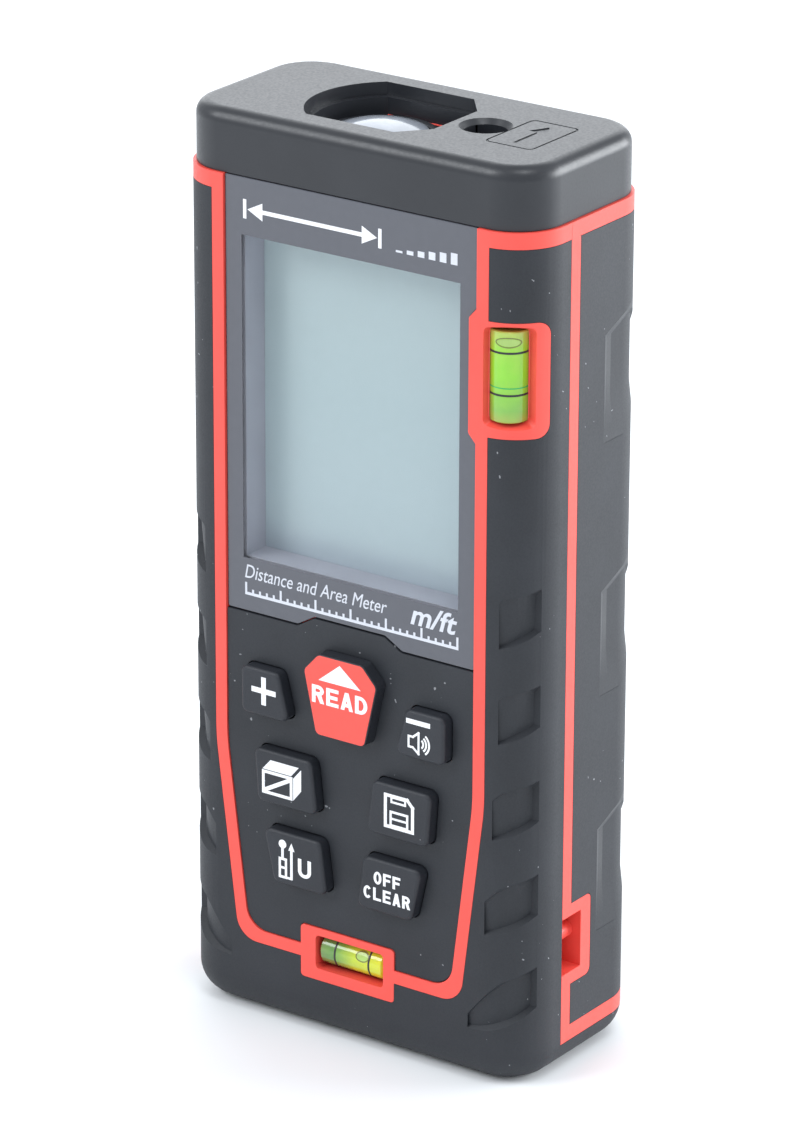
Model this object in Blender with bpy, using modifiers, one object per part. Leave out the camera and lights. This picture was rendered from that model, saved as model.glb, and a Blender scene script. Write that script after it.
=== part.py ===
"""Laser distance meter: a handheld instrument built from its separate pieces.

The meter stands upright on its foot. +Z runs up to the optics, the display and keys face -Y,
and the origin is the centre of the flat foot. Lengths in this file are in millimetres and are
turned into metres as each mesh is made.
"""
import math

import bmesh
import bpy
from mathutils import Matrix, Vector

MM = 0.001

# Driving dimensions of the whole instrument
WIDTH = 50.0
DEPTH = 25.0
HEIGHT = 112.0
CORNER = 6.3            # plan radius of the four upright corners
FOOT_EDGE = 4.0         # radius round the foot
CORNER_STEPS = 6
FOOT_STEPS = 4
GAP = 0.3               # clearance between neighbouring pieces

# Layers, measured inwards from the outer form
RUBBER = 1.0
SKIN = RUBBER + GAP     # outer face of the hard housing
WALL = 1.4
CAVITY = SKIN + WALL    # inner face of the hard housing
FRONT = -DEPTH / 2
BACK = DEPTH / 2

# Heights that the front is laid out on
CAP_FOOT = 104.7
HOUSING_TOP = CAP_FOOT - GAP
BAND_FOOT = 102.7       # lower edge of the red band below the cap
PARTING = -4.6          # the rear housing starts here, the front housing ends a gap before it
STRIPE_BACK = -2.8      # rear edge of the red stripe down each side
LOW_BAND = (3.65, 5.6)  # red band round the back of the foot

# Red line round the display and keys: corners of its centre line, right half, from the top
LINE_WIDTH = 1.6
LINE_CORNERS = ((18.4, 125.0, 0.0), (18.4, 35.0, 30.0), (15.35, 10.4, 2.2))

# Level frames on the front and on the right-hand front corner
LOW_LEVEL = dict(x=(-6.9, 6.6), z=(7.05, 13.8), window_x=(-4.8, 5.1), centre=(-10.35, 10.7), radius=1.9)
HIGH_LEVEL = dict(x=16.6, y=-8.15, z=(80.4, 94.1), centre=(20.2, -9.6), radius=2.35, vial=(82.2, 93.0),
                  window=2.4, turn=-60.0)

# Grip pockets in the front corners and finger hollows in the rear corners
POCKET_FOOT, POCKET_PITCH, POCKET_HEIGHT, POCKET_DEPTH = 10.1, 11.75, 5.1, 0.7
POCKET_ENDS = (3.3, 4.9, 5.6, 6.15, 6.15)       # front ends, lowest first, across the corner's diagonal
HOLLOW_FEET = (17.2, 46.9, 78.0)
HOLLOW_DEPTH = 0.35

# Display stack
WINDOW = dict(x=17.55, z=(51.7, 104.4), notch_x=(5.0, 7.4), notch_z=53.1, face=FRONT + 0.3)
PANEL_BACK = -11.5
LCD_WELL = dict(x=15.2, z=(58.3, 97.7), wall=1.2)
BOARD = dict(front=-5.2, back=-4.2, x=16.0, z=(15.0, 96.0))

# Keys
KEY_FACE = -13.9
READ_FACE = -14.2         # the large red key stands a little higher
KEY_TRAVEL = 0.8
KEY_CLEARANCE = 0.4
KEYPAD_FACE = -12.35

# Strap slot in the right-hand side
STRAP = dict(frame_y=1.27, frame_z=(10.9, 21.15), hole_y=-0.73, hole_z=(12.5, 19.65), floor_x=20.0,
             bar_x=22.7, bar_z=16.8, bar_r=1.1)

# Battery bay and door
BAY = dict(x=11.3, y=-1.4, z=(14.0, 64.0), wall=1.0)
CELL = dict(x=5.6, y=4.3, radius=5.25, length=44.5, nub_r=1.9, nub=0.8)
DOOR = dict(x=14.0, z=(12.5, 65.5), plug_x=11.0, plug_z=(14.4, 63.6), axis=(12.0, 13.0), pin_r=0.4, pin=0.8)
PANEL = dict(x=16.5, z=(9.0, 98.0), front=11.5)

# Optics in the top
LENS = dict(x=-4.5, y=0.0, radius=6.5)
LASER = dict(x=9.9, y=0.3, radius=2.5)
WELL_FLOOR = 108.3
WELL_STEP = 110.4

# Housing screws
SCREW_X = 19.0
SCREW_Z = (28.0, 99.5)


def clear_scene():
    for obj in list(bpy.data.objects):
        bpy.data.objects.remove(obj, do_unlink=True)


def new_collection(name):
    collection = bpy.data.collections.new(name)
    bpy.context.scene.collection.children.link(collection)
    return collection


clear_scene()
PARTS = new_collection("laser_distance_meter")
CUTTERS = new_collection("cutters")


def make_material(name, colour, roughness, metallic=0.0):
    material = bpy.data.materials.new(name)
    material.use_nodes = True
    shader = material.node_tree.nodes["Principled BSDF"]
    shader.inputs["Base Color"].default_value = (*colour, 1.0)
    shader.inputs["Roughness"].default_value = roughness
    shader.inputs["Metallic"].default_value = metallic
    material.diffuse_color = (*colour, 1.0)
    return material


RED = make_material("red_housing", (0.80, 0.09, 0.07), 0.45)
BLACK_RUBBER = make_material("black_rubber", (0.045, 0.048, 0.055), 0.75)
BLACK_PLASTIC = make_material("black_plastic", (0.07, 0.073, 0.08), 0.5)
WINDOW_PLASTIC = make_material("window_plastic", (0.16, 0.165, 0.19), 0.15)
LCD_GLASS = make_material("lcd_glass", (0.45, 0.55, 0.57), 0.2)
WHITE_PLASTIC = make_material("white_plastic", (0.75, 0.75, 0.75), 0.5)
BOARD_GREEN = make_material("circuit_board", (0.03, 0.20, 0.07), 0.4)
SPRING_STEEL = make_material("spring_steel", (0.60, 0.60, 0.62), 0.3, 1.0)
BRASS = make_material("brass", (0.70, 0.50, 0.20), 0.3, 1.0)
CLEAR_GLASS = make_material("lens_glass", (0.80, 0.85, 0.88), 0.05)
VIAL_FLUID = make_material("vial_fluid", (0.60, 0.85, 0.10), 0.1)
CELL_JACKET = make_material("cell_jacket", (0.10, 0.10, 0.12), 0.35)
CHIP = make_material("chip_epoxy", (0.02, 0.02, 0.02), 0.5)


# ---------------------------------------------------------------- mesh builders

def box(x, y, z):
    """Box between the two values given along each axis."""
    size = Vector((x[1] - x[0], y[1] - y[0], z[1] - z[0])) * MM
    middle = Vector((x[0] + x[1], y[0] + y[1], z[0] + z[1])) * (MM / 2)
    mesh = bmesh.new()
    bmesh.ops.create_cube(mesh, size=1.0, matrix=Matrix.Translation(middle) @ Matrix.Diagonal((*size, 1.0)))
    return mesh


def rod(axis, centre, radius, span, steps=24, end_radius=None):
    """Cylinder or cone along an axis; centre holds the two other coordinates in axis order."""
    turn = {"x": Matrix.Rotation(math.pi / 2, 4, "Y"), "y": Matrix.Rotation(-math.pi / 2, 4, "X"),
            "z": Matrix.Identity(4)}[axis]
    middle = (span[0] + span[1]) / 2
    place = {"x": (middle, *centre), "y": (centre[0], middle, centre[1]), "z": (*centre, middle)}[axis]
    far = radius if end_radius is None else end_radius
    mesh = bmesh.new()
    bmesh.ops.create_cone(mesh, cap_ends=True, segments=steps, radius1=radius * MM, radius2=far * MM,
                          depth=(span[1] - span[0]) * MM, matrix=Matrix.Translation(Vector(place) * MM) @ turn)
    return mesh


def together(*meshes):
    """Several loose shapes in one mesh, for use as one cutter."""
    whole = bmesh.new()
    for mesh in meshes:
        loose = bpy.data.meshes.new("loose")
        mesh.to_mesh(loose)
        mesh.free()
        whole.from_mesh(loose)
        bpy.data.meshes.remove(loose)
    return whole


def bevel(mesh, chosen, radius, steps):
    edges = [edge for edge in mesh.edges if chosen(edge)]
    bmesh.ops.bevel(mesh, geom=edges, offset=radius * MM, segments=steps, profile=0.5, affect="EDGES",
                    clamp_overlap=False)
    return mesh


def edge_at(axis, value):
    """Chooses the edges that lie in the plane where the axis has the value."""
    index = "xyz".index(axis)
    return lambda edge: all(abs(vert.co[index] - value * MM) < 1e-7 for vert in edge.verts)


def upright(edge):
    first, second = (vert.co for vert in edge.verts)
    return (first - second).xy.length < 1e-7


def form(inset, top=HEIGHT + 8, foot=None, top_edge=0.0):
    """The instrument's outer form, moved inwards: a box with round corners and a round foot."""
    low = inset if foot is None else foot
    half_x, half_y = WIDTH / 2 - inset, DEPTH / 2 - inset
    mesh = box((-half_x, half_x), (-half_y, half_y), (low, top))
    bevel(mesh, upright, CORNER - inset, CORNER_STEPS)
    if foot is None:
        bevel(mesh, edge_at("z", low), FOOT_EDGE - inset, FOOT_STEPS)
    if top_edge:
        bevel(mesh, edge_at("z", top), top_edge, 3)
    return mesh


def rounded(corners, steps=5):
    """Closed outline from (u, v, radius) corners, with each corner rounded by an arc."""
    outline = []
    count = len(corners)
    for index, (u, v, radius) in enumerate(corners):
        here = Vector((u, v))
        if radius == 0.0:
            outline.append(here)
            continue
        before = (Vector(corners[index - 1][:2]) - here).normalized()
        after = (Vector(corners[(index + 1) % count][:2]) - here).normalized()
        half = before.angle(after) / 2
        centre = here + (before + after).normalized() * (radius / math.sin(half))
        start = here + before * (radius / math.tan(half)) - centre
        sweep = start.angle_signed(here + after * (radius / math.tan(half)) - centre)
        for step in range(steps + 1):
            outline.append(centre + Matrix.Rotation(-sweep * step / steps, 2) @ start)
    return [(point.x, point.y) for point in outline]


def grown(corners, distance):
    """Outline corners moved outwards by a distance; corners run anticlockwise."""
    moved = []
    count = len(corners)
    for index, (u, v, radius) in enumerate(corners):
        here = Vector((u, v))
        into = (here - Vector(corners[index - 1][:2])).normalized()
        out = (Vector(corners[(index + 1) % count][:2]) - here).normalized()
        normal_in, normal_out = Vector((into.y, -into.x)), Vector((out.y, -out.x))
        shift = (normal_in + normal_out) / (1 + normal_in.dot(normal_out))
        turn = into.cross(out)
        new_radius = radius if radius == 0.0 else max(radius + math.copysign(distance, turn), 0.1)
        moved.append((*(here + shift * distance), new_radius))
    return moved


PLANES = {
    "x": Matrix(((0, 0, 1), (1, 0, 0), (0, 1, 0))),
    "y": Matrix(((1, 0, 0), (0, 0, -1), (0, 1, 0))),
    "z": Matrix.Identity(3),
}


def prism(outline, axis, span):
    """Flat outline extruded along an axis; the outline's (u, v) are (y, z), (x, z) or (x, y)."""
    curve = bpy.data.curves.new("outline", "CURVE")
    curve.dimensions = "2D"
    curve.fill_mode = "BOTH"
    curve.extrude = (span[1] - span[0]) / 2 * MM
    spline = curve.splines.new("POLY")
    spline.points.add(len(outline) - 1)
    for point, (u, v) in zip(spline.points, outline):
        point.co = (u * MM, v * MM, 0.0, 1.0)
    spline.use_cyclic_u = True
    guide = bpy.data.objects.new("outline", curve)
    CUTTERS.objects.link(guide)
    evaluated = guide.evaluated_get(bpy.context.evaluated_depsgraph_get())
    solid = bpy.data.meshes.new_from_object(evaluated)
    mesh = bmesh.new()
    mesh.from_mesh(solid)
    bmesh.ops.remove_doubles(mesh, verts=mesh.verts, dist=1e-6)
    bmesh.ops.dissolve_limit(mesh, angle_limit=0.002, verts=mesh.verts, edges=mesh.edges)
    offset = Vector((0.0, 0.0, 0.0))
    offset["xyz".index(axis)] = (span[0] + span[1]) / 2 * MM
    bmesh.ops.transform(mesh, matrix=Matrix.Translation(offset) @ PLANES[axis].to_4x4(), verts=mesh.verts)
    bpy.data.objects.remove(guide)
    bpy.data.curves.remove(curve)
    bpy.data.meshes.remove(solid)
    return mesh


# ---------------------------------------------------------------- objects

def to_object(name, mesh, collection):
    data = bpy.data.meshes.new(name)
    bmesh.ops.recalc_face_normals(mesh, faces=mesh.faces)
    mesh.to_mesh(data)
    mesh.free()
    data.shade_smooth()
    data.set_sharp_from_angle(angle=math.radians(35))
    obj = bpy.data.objects.new(name, data)
    collection.objects.link(obj)
    return obj


def part(name, mesh, material, origin, parent=None):
    """One named sub-part, with its origin at the given point."""
    obj = to_object(name, mesh, PARTS)
    place = Vector(origin) * MM
    obj.data.transform(Matrix.Translation(-place))
    obj.data.materials.append(material)
    obj.location = place
    if parent:
        obj.location = place - parent.location
        obj.parent = parent
    return obj


def tool(mesh):
    obj = to_object("cutter", mesh, CUTTERS)
    obj.display_type = "WIRE"
    obj.hide_render = True
    return obj


def combine(obj, operation, shape):
    """Adds an exact Boolean with a mesh or with a cutter object."""
    cutter = shape if isinstance(shape, bpy.types.Object) else tool(shape)
    modifier = obj.modifiers.new(operation.lower(), "BOOLEAN")
    modifier.operation = operation
    modifier.solver = "EXACT"
    modifier.object = cutter


def cut(obj, *shapes):
    for shape in shapes:
        combine(obj, "DIFFERENCE", shape)


def join(obj, *shapes):
    for shape in shapes:
        combine(obj, "UNION", shape)


def keep(obj, *shapes):
    for shape in shapes:
        combine(obj, "INTERSECT", shape)


def turned(name, profile, material, origin, axis="z", steps=24, closed=False):
    """Turned piece: (radius, height) points down the outside, spun with a Screw modifier."""
    data = bpy.data.meshes.new(name)
    verts = [(radius * MM, 0.0, height * MM) for radius, height in profile]
    count = len(verts)
    edges = [(index, index + 1) for index in range(count - 1)]
    if closed:
        edges.append((count - 1, 0))
    data.from_pydata(verts, edges, [])
    data.materials.append(material)
    obj = bpy.data.objects.new(name, data)
    PARTS.objects.link(obj)
    screw = obj.modifiers.new("turn", "SCREW")
    screw.axis = "Z"
    screw.steps = steps
    screw.render_steps = steps
    screw.use_merge_vertices = True
    screw.merge_threshold = 0.00001
    screw.use_smooth_shade = True
    obj.location = Vector(origin) * MM
    obj.rotation_euler = {"x": (0.0, math.pi / 2, 0.0), "y": (-math.pi / 2, 0.0, 0.0), "z": (0.0, 0.0, 0.0)}[axis]
    return obj


# ---------------------------------------------------------------- shared outlines

def line_outline(distance):
    """Outline of the red line's centre, moved outwards by a distance, as a closed U."""
    left = [(-u, v, radius) for u, v, radius in LINE_CORNERS]
    right = list(reversed(LINE_CORNERS))
    return rounded(grown(left + right, distance), steps=6)


def rectangle(x, z, radius=0.5):
    return [(x[0], z[0], radius), (x[1], z[0], radius), (x[1], z[1], radius), (x[0], z[1], radius)]


def window_corners(gap):
    """Display window: a notch along the lower edge and a step for the corner level."""
    side, (low, high) = WINDOW["x"] - gap, WINDOW["z"]
    near, far = WINDOW["notch_x"]
    step_z = HIGH_LEVEL["z"]
    step_x = HIGH_LEVEL["x"] - gap
    return [(-side, low, 0.0), (-far, low, 0.6), (-near, WINDOW["notch_z"], 0.6), (near, WINDOW["notch_z"], 0.6),
            (far, low, 0.6), (side, low, 0.0), (side, step_z[0] - 1.1 - gap, 0.0), (step_x, step_z[0] - gap, 0.0),
            (step_x, step_z[1] + gap, 0.0), (side, step_z[1] + 1.1 + gap, 0.0),
            (side, high - gap, 0.0), (-side, high - gap, 0.0)]


def keypad_corners():
    """Top edge of the keypad mat, which follows the display window's notch."""
    low, (near, far) = WINDOW["z"][0] - GAP, WINDOW["notch_x"]
    top = WINDOW["notch_z"] - GAP
    return [(-30.0, low, 0.0), (-far, low, 0.6), (-near, top, 0.6), (near, top, 0.6), (far, low, 0.6),
            (30.0, low, 0.0), (30.0, 130.0, 0.0), (-30.0, 130.0, 0.0)]


def mirrored(corners):
    return [(-u, v, radius) for u, v, radius in reversed(corners)]


READ_CORNERS = [(-3.4, 39.5, 0.9), (3.4, 39.5, 0.9), (5.1, 47.2, 0.9), (3.1, 49.4, 0.9),
                (-3.1, 49.4, 0.9), (-5.1, 47.2, 0.9)]
PLUS_CORNERS = [(-14.5, 39.6, 0.9), (-7.6, 39.6, 0.9), (-9.1, 45.5, 0.9), (-14.5, 45.5, 0.9)]
AREA_CORNERS = [(-12.2, 28.8, 0.9), (-3.6, 28.8, 0.9), (-4.4, 35.5, 0.9), (-12.7, 35.5, 0.9)]
LEVEL_CORNERS = [(-9.9, 18.9, 0.9), (-2.2, 18.9, 0.9), (-3.1, 25.6, 0.9), (-11.4, 25.6, 0.9)]
KEYS = {
    "read": READ_CORNERS,
    "plus": PLUS_CORNERS,
    "minus": mirrored(PLUS_CORNERS),
    "area": AREA_CORNERS,
    "memory": mirrored(AREA_CORNERS),
    "unit": LEVEL_CORNERS,
    "off": mirrored(LEVEL_CORNERS),
}


def key_centre(corners):
    count = len(corners)
    return (sum(corner[0] for corner in corners) / count, sum(corner[1] for corner in corners) / count)


def key_openings(span):
    """One cutter for every key hole, through the given depth."""
    shapes = [prism(rounded(grown(corners, KEY_CLEARANCE)), "y", span) for corners in KEYS.values()]
    return together(*shapes)


# ---------------------------------------------------------------- rubber

def corner_pockets():
    """Grip pockets round both front corners; each slants down to the front and reaches further lower down."""
    rear_y, far = -8.85, 11.0
    shapes = []
    for index, near in enumerate(POCKET_ENDS):
        low = POCKET_FOOT + index * POCKET_PITCH
        top = low + POCKET_HEIGHT
        reach = far - near
        corners = [(near, low - 0.42 * reach, 0.4), (far + 1.0, low + 0.42, 0.0), (far + 1.0, top + 0.31, 0.0),
                   (near, top - 0.31 * reach, 0.4)]
        for side, outline in ((1, corners), (-1, mirrored(corners))):
            shape = prism(rounded(outline, steps=2), "y", (-26.0, -20.0))
            bmesh.ops.rotate(shape, matrix=Matrix.Rotation(math.radians(45 * side), 3, "Z"), verts=shape.verts)
            shapes.append(shape)
    pockets = tool(together(*shapes))
    cut(pockets, box((-40, 40), (rear_y, 40), (-5, 130)), form(POCKET_DEPTH))
    return pockets


def rear_pockets():
    """Three finger hollows cut into each rear corner, with a slanting upper edge."""
    shapes = []
    for low in HOLLOW_FEET:
        corners = [(2.6, low, 0.0), (13.5, low, 0.0), (13.5, low + 16.1, 0.0), (2.6, low + 11.5, 0.0)]
        for side in ((19.5, 26.0), (-26.0, -19.5)):
            shapes.append(prism(rounded(corners), "x", side))
    pockets = tool(together(*shapes))
    cut(pockets, form(HOLLOW_DEPTH))
    return pockets


def make_front_boot():
    boot = part("front_boot", form(0.0, top=BAND_FOOT - GAP), BLACK_RUBBER, (0.0, 0.0, 0.0))
    level = LOW_LEVEL
    high = HIGH_LEVEL
    cut(boot, form(RUBBER),
        box((-30, 30), (PARTING - GAP, 20), (LOW_BAND[0] - GAP, 130)),
        prism(line_outline(LINE_WIDTH / 2 + GAP), "y", (-14.0, -10.5)),
        prism(rounded(grown(rectangle(level["x"], level["z"]), GAP)), "y", (-14.0, -10.0)),
        prism(rounded([(-20.0, high["z"][0] - GAP, 0.0), (high["y"] + GAP, high["z"][0] - GAP, 1.5),
                       (high["y"] + GAP, high["z"][1] + GAP, 1.5), (-20.0, high["z"][1] + GAP, 0.0)]),
              "x", (15.0, 26.0)),
        corner_pockets())
    return boot


def make_rear_grip():
    grip = part("rear_grip", form(0.0, top=BAND_FOOT - GAP), BLACK_RUBBER, (0.0, 0.0, 0.0))
    cut(grip, form(RUBBER),
        box((-30, 30), (-20, STRIPE_BACK + GAP), (-5, 130)),
        box((-30, 30), (-20, 20), (-5, LOW_BAND[1] + GAP)),
        box((15, 30), (-20, STRAP["frame_y"] + GAP), (STRAP["frame_z"][0] - GAP, STRAP["frame_z"][1] + GAP)),
        prism(rounded(grown(rectangle((-PANEL["x"], PANEL["x"]), PANEL["z"], 2.0), GAP)), "y", (10.5, 14.0)),
        rear_pockets())
    return grip


def make_keypad_mat():
    mat = part("keypad_mat", prism(line_outline(-LINE_WIDTH / 2 - GAP), "y", (KEYPAD_FACE, PANEL_BACK)),
               BLACK_RUBBER, (0.0, KEYPAD_FACE, 30.0))
    cut(mat, prism(rounded(keypad_corners()), "y", (-14.0, -10.0)),
        prism(rounded(grown(rectangle(LOW_LEVEL["x"], LOW_LEVEL["z"]), GAP)), "y", (-14.0, -10.0)),
        key_openings((-14.0, -10.0)))


# ---------------------------------------------------------------- housings

def outer_piece(x, y, z):
    """A block of the outer skin in the given box, reaching down into the housing's wall."""
    block = tool(box(x, y, z))
    cut(block, form(SKIN + 0.4))
    return block


def screw_points():
    return [(side * SCREW_X, height) for height in SCREW_Z for side in (1, -1)]


def trim(housing, *beyond):
    """Cuts the oversize features back to the outer form, the top and the parting plane."""
    keep(housing, form(0.0))
    cut(housing, box((-40, 40), (-40, 40), (HOUSING_TOP, 140)), *beyond)


def make_front_housing():
    housing = part("front_housing", form(SKIN), RED, (0.0, PARTING, 50.0))
    split = PARTING - GAP
    past = split + 0.5
    cut(housing, form(CAVITY), box((-30, 30), (past, 20), (-5, 130)))
    line = tool(prism(line_outline(LINE_WIDTH / 2), "y", (-13.5, -10.9)))
    cut(line, prism(line_outline(-LINE_WIDTH / 2), "y", (-14.0, -10.0)))
    join(housing, line)
    inner_x = LINE_CORNERS[0][0]
    for x in ((inner_x, 26), (-26, -inner_x)):
        join(housing, outer_piece(x, (-13.8, past), (BAND_FOOT, 116)))
    high = HIGH_LEVEL
    frame = tool(prism(rounded([(-13.7, high["z"][0], 0.0), (high["y"], high["z"][0], 1.5),
                                (high["y"], high["z"][1], 1.5), (-13.7, high["z"][1], 0.0)]),
                       "x", (high["x"] + 1.2, 26.2)))
    cut(frame, form(SKIN + 0.4))
    block = tool(box((16.9, 24.0), (-11.6, -5.6), (high["z"][0] + 0.2, high["z"][1] - 0.2)))
    keep(block, form(SKIN + 0.2))
    step = prism(rounded([(high["x"], high["z"][0], 0.0), (18.0, high["z"][0] - 1.55, 0.0),
                          (19.0, high["z"][0] - 1.4, 0.0), (19.0, high["z"][1] + 1.4, 0.0),
                          (18.0, high["z"][1] + 1.55, 0.0), (high["x"], high["z"][1], 0.0)]), "y", (-13.3, -10.95))
    low = LOW_LEVEL
    pad = prism(rounded(rectangle(low["x"], low["z"])), "y", (-13.4, -7.1))
    join(housing, frame, block, step, pad, box((19.2, 23.5), (-6.6, past), (11.0, 21.2)))
    for x, z in screw_points():
        join(housing, rod("y", (x, z), 2.0, (-10.3, past), steps=16))
    trim(housing, box((-40, 40), (split, 40), (-5, 130)))
    centre_y, centre_z = low["centre"]
    radius = low["radius"] + GAP
    window_x = low["window_x"]
    cut(housing, box(window_x, (-14.0, centre_y), (centre_z - radius + 0.1, centre_z + radius - 0.1)),
        rod("x", (centre_y, centre_z), radius, window_x, steps=20))
    centre_x, centre_y = high["centre"]
    span = (high["vial"][0] - GAP, high["vial"][1] + GAP)
    window = box((0.0, 12.0), (-high["window"], high["window"]), (span[0] + 0.05, span[1] - 0.05))
    turn = (Matrix.Translation(Vector((centre_x, centre_y, 0.0)) * MM)
            @ Matrix.Rotation(math.radians(high["turn"]), 4, "Z"))
    bmesh.ops.transform(window, matrix=turn, verts=window.verts)
    cut(housing, rod("z", (centre_x, centre_y), high["radius"] + GAP, span, steps=20), window)
    well = LCD_WELL
    reach = well["wall"] + GAP
    cut(housing, box((-well["x"] - reach, well["x"] + reach), (-12.0, -9.0),
                     (well["z"][0] - reach, well["z"][1] + reach)))
    cut(housing, key_openings((-13.0, -9.0)))
    for x, z in screw_points():
        cut(housing, rod("y", (x, z), 1.15, (-9.0, PARTING), steps=12))


def make_rear_housing():
    housing = part("rear_housing", form(SKIN), RED, (0.0, PARTING, 50.0))
    past = PARTING - 0.5
    cut(housing, form(CAVITY), box((-30, 30), (-20, past), (-5, 130)))
    for x in ((22.0, 26.0), (-26.0, -22.0)):
        join(housing, outer_piece(x, (past, STRIPE_BACK), (LOW_BAND[0] + 1.0, 116)))
    join(housing, outer_piece((-27, 27), (past + 0.1, 20), LOW_BAND),
         outer_piece((-28, 28), (past + 0.2, 21), (BAND_FOOT, 117)),
         outer_piece((22.2, 29.0), (past - 0.1, STRAP["frame_y"]), STRAP["frame_z"]))
    bay = BAY
    wall = bay["wall"]
    bay_x, bay_z = bay["x"] + wall, (bay["z"][0] - wall, bay["z"][1] + wall)
    slot_z = STRAP["hole_z"]
    join(housing, box((-bay_x, bay_x), (bay["y"] - wall, 10.6), bay_z))
    cut(housing, box((-bay["x"], bay["x"]), (bay["y"], 20.0), bay["z"]))
    join(housing,
         box((STRAP["floor_x"] - 1.0, 23.0), (past, STRAP["hole_y"] + 1.0), (slot_z[0] - 1.0, slot_z[1] + 1.0)))
    for x, z in screw_points():
        join(housing, rod("y", (x, z), 2.6, (past, 10.4), steps=20))
    cut(housing, box((STRAP["floor_x"], 35.0), (-20, STRAP["hole_y"]), slot_z))
    join(housing, rod("y", (STRAP["bar_x"], STRAP["bar_z"]), STRAP["bar_r"], (past, STRAP["hole_y"] + 0.5), steps=16))
    trim(housing, box((-40, 40), (-40, PARTING), (-5, 130)))
    for x, z in screw_points():
        cut(housing, rod("y", (x, z), 2.1, (2.4, 14.0), steps=16), rod("y", (x, z), 1.15, (-6.0, 3.0), steps=12))


def make_screws():
    profile = [(0.0, 7.7), (1.0, 7.7), (1.75, 7.2), (1.75, 6.4), (0.9, 6.4), (0.9, -3.0), (0.4, -3.6), (0.0, -3.6)]
    for index, (x, z) in enumerate(screw_points(), start=1):
        turned(f"housing_screw_{index}", profile, SPRING_STEEL, (x, -3.6, z), axis="y", steps=12)


def make_top_cap():
    cap = part("top_cap", form(0.4, top=HEIGHT, foot=CAP_FOOT, top_edge=1.7), BLACK_PLASTIC, (0.0, 0.0, CAP_FOOT))
    arc_centre, arc_radius = (-2.4, 0.15), 10.5
    reach = math.asin(7.95 / arc_radius)

    def well(shrink):
        radius = arc_radius - shrink
        outline = [(2.9, -7.8 + shrink), (5.9 - shrink, -4.2 + shrink * 0.4), (5.9 - shrink, 4.4 - shrink * 0.4),
                   (2.9, 8.1 - shrink)]
        for step in range(13):
            angle = math.pi - reach + 2 * reach * step / 12
            outline.append((arc_centre[0] + radius * math.cos(angle), arc_centre[1] + radius * math.sin(angle)))
        return outline

    cut(cap, prism(well(0.0), "z", (WELL_STEP, 120.0)), prism(well(0.8), "z", (WELL_FLOOR, 115.0)),
        box((-20.5, 20.5), (-9.0, 9.0), (100.0, 106.8)),
        rod("z", (LENS["x"], LENS["y"]), LENS["radius"] + 0.35, (100.0, 110.0), steps=32),
        rod("z", (LASER["x"], LASER["y"]), LASER["radius"], (100.0, 115.0), steps=24),
        rod("z", (LASER["x"], LASER["y"]), LASER["radius"] - 0.2, (HEIGHT - 0.8, HEIGHT + 0.6), steps=24,
            end_radius=LASER["radius"] + 1.2))


def make_rear_panel():
    panel = part("rear_panel", prism(rounded(rectangle((-PANEL["x"], PANEL["x"]), PANEL["z"], 2.0)), "y",
                                     (PANEL["front"], BACK)), BLACK_PLASTIC, (0.0, BACK, 50.0))
    axis_z = DOOR["axis"][1]
    door = grown(rectangle((-DOOR["x"], DOOR["x"]), DOOR["z"], 0.0), GAP)
    pocket_x = DOOR["x"] + DOOR["pin"] + GAP
    cut(panel, prism(rounded(door), "y", (10.0, 14.0)),
        box((-pocket_x, pocket_x), (10.0, 14.0), (axis_z - 0.7, axis_z + 0.7)))


def make_door():
    axis_y, axis_z = DOOR["axis"]
    hinge = bpy.data.objects.new("door_hinge", None)
    hinge.location = Vector((0.0, axis_y, axis_z)) * MM
    PARTS.objects.link(hinge)
    plate = box((-DOOR["x"], DOOR["x"]), (PANEL["front"], BACK), DOOR["z"])
    bevel(plate, edge_at("z", DOOR["z"][0]), 0.45, 3)
    door = part("battery_door", plate, BLACK_PLASTIC, (0.0, axis_y, axis_z), parent=hinge)
    pin_reach = DOOR["x"] + DOOR["pin"]
    join(door, box((-DOOR["plug_x"], DOOR["plug_x"]), (10.3, 12.0), DOOR["plug_z"]),
         rod("x", (axis_y, axis_z), DOOR["pin_r"], (-pin_reach, pin_reach), steps=12))
    cut(door, box((-4.8, 4.8), (9.0, 14.0), (58.3, 70.0)))
    latch = box((-4.5, 4.5), (PANEL["front"], BACK + 0.2), (59.9, 65.5))
    bevel(latch, edge_at("y", BACK + 0.2), 0.3, 2)
    slide = part("door_latch", latch, BLACK_PLASTIC, (0.0, 12.0, 62.0), parent=hinge)
    join(slide, box((-3.6, 3.6), (10.4, 12.0), (59.9, 63.6)))
    ridges = [box((-3.4, 3.4), (12.2, 12.9), (61.0 + 1.2 * index, 61.5 + 1.2 * index)) for index in range(3)]
    join(slide, together(*ridges))


# ---------------------------------------------------------------- display and board

def make_display():
    part("display_window", prism(rounded(window_corners(GAP), steps=2), "y", (WINDOW["face"], PANEL_BACK)),
         WINDOW_PLASTIC, (0.0, WINDOW["face"], 78.0))
    well = LCD_WELL
    x, (low, high), wall = well["x"], well["z"], well["wall"]
    outer_x, outer_z = (-x - wall, x + wall), (low - wall, high + wall)
    bezel = part("display_bezel", box(outer_x, (-11.2, -8.1), outer_z), BLACK_PLASTIC, (0.0, -10.0, 78.0))
    cut(bezel, box((-x, x), (-12, -7), (low, high)))
    part("lcd_panel", box(outer_x, (-7.8, -7.1), outer_z), LCD_GLASS, (0.0, -7.5, 78.0))
    part("lcd_backlight", box(outer_x, (-6.8, -5.5), (60.6, outer_z[1])), WHITE_PLASTIC, (0.0, -6.2, 80.0))
    part("lcd_connector", box((-12, 12), (-6.8, -5.5), (57.6, 59.9)), BLACK_RUBBER, (0.0, -6.2, 58.8))


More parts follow.
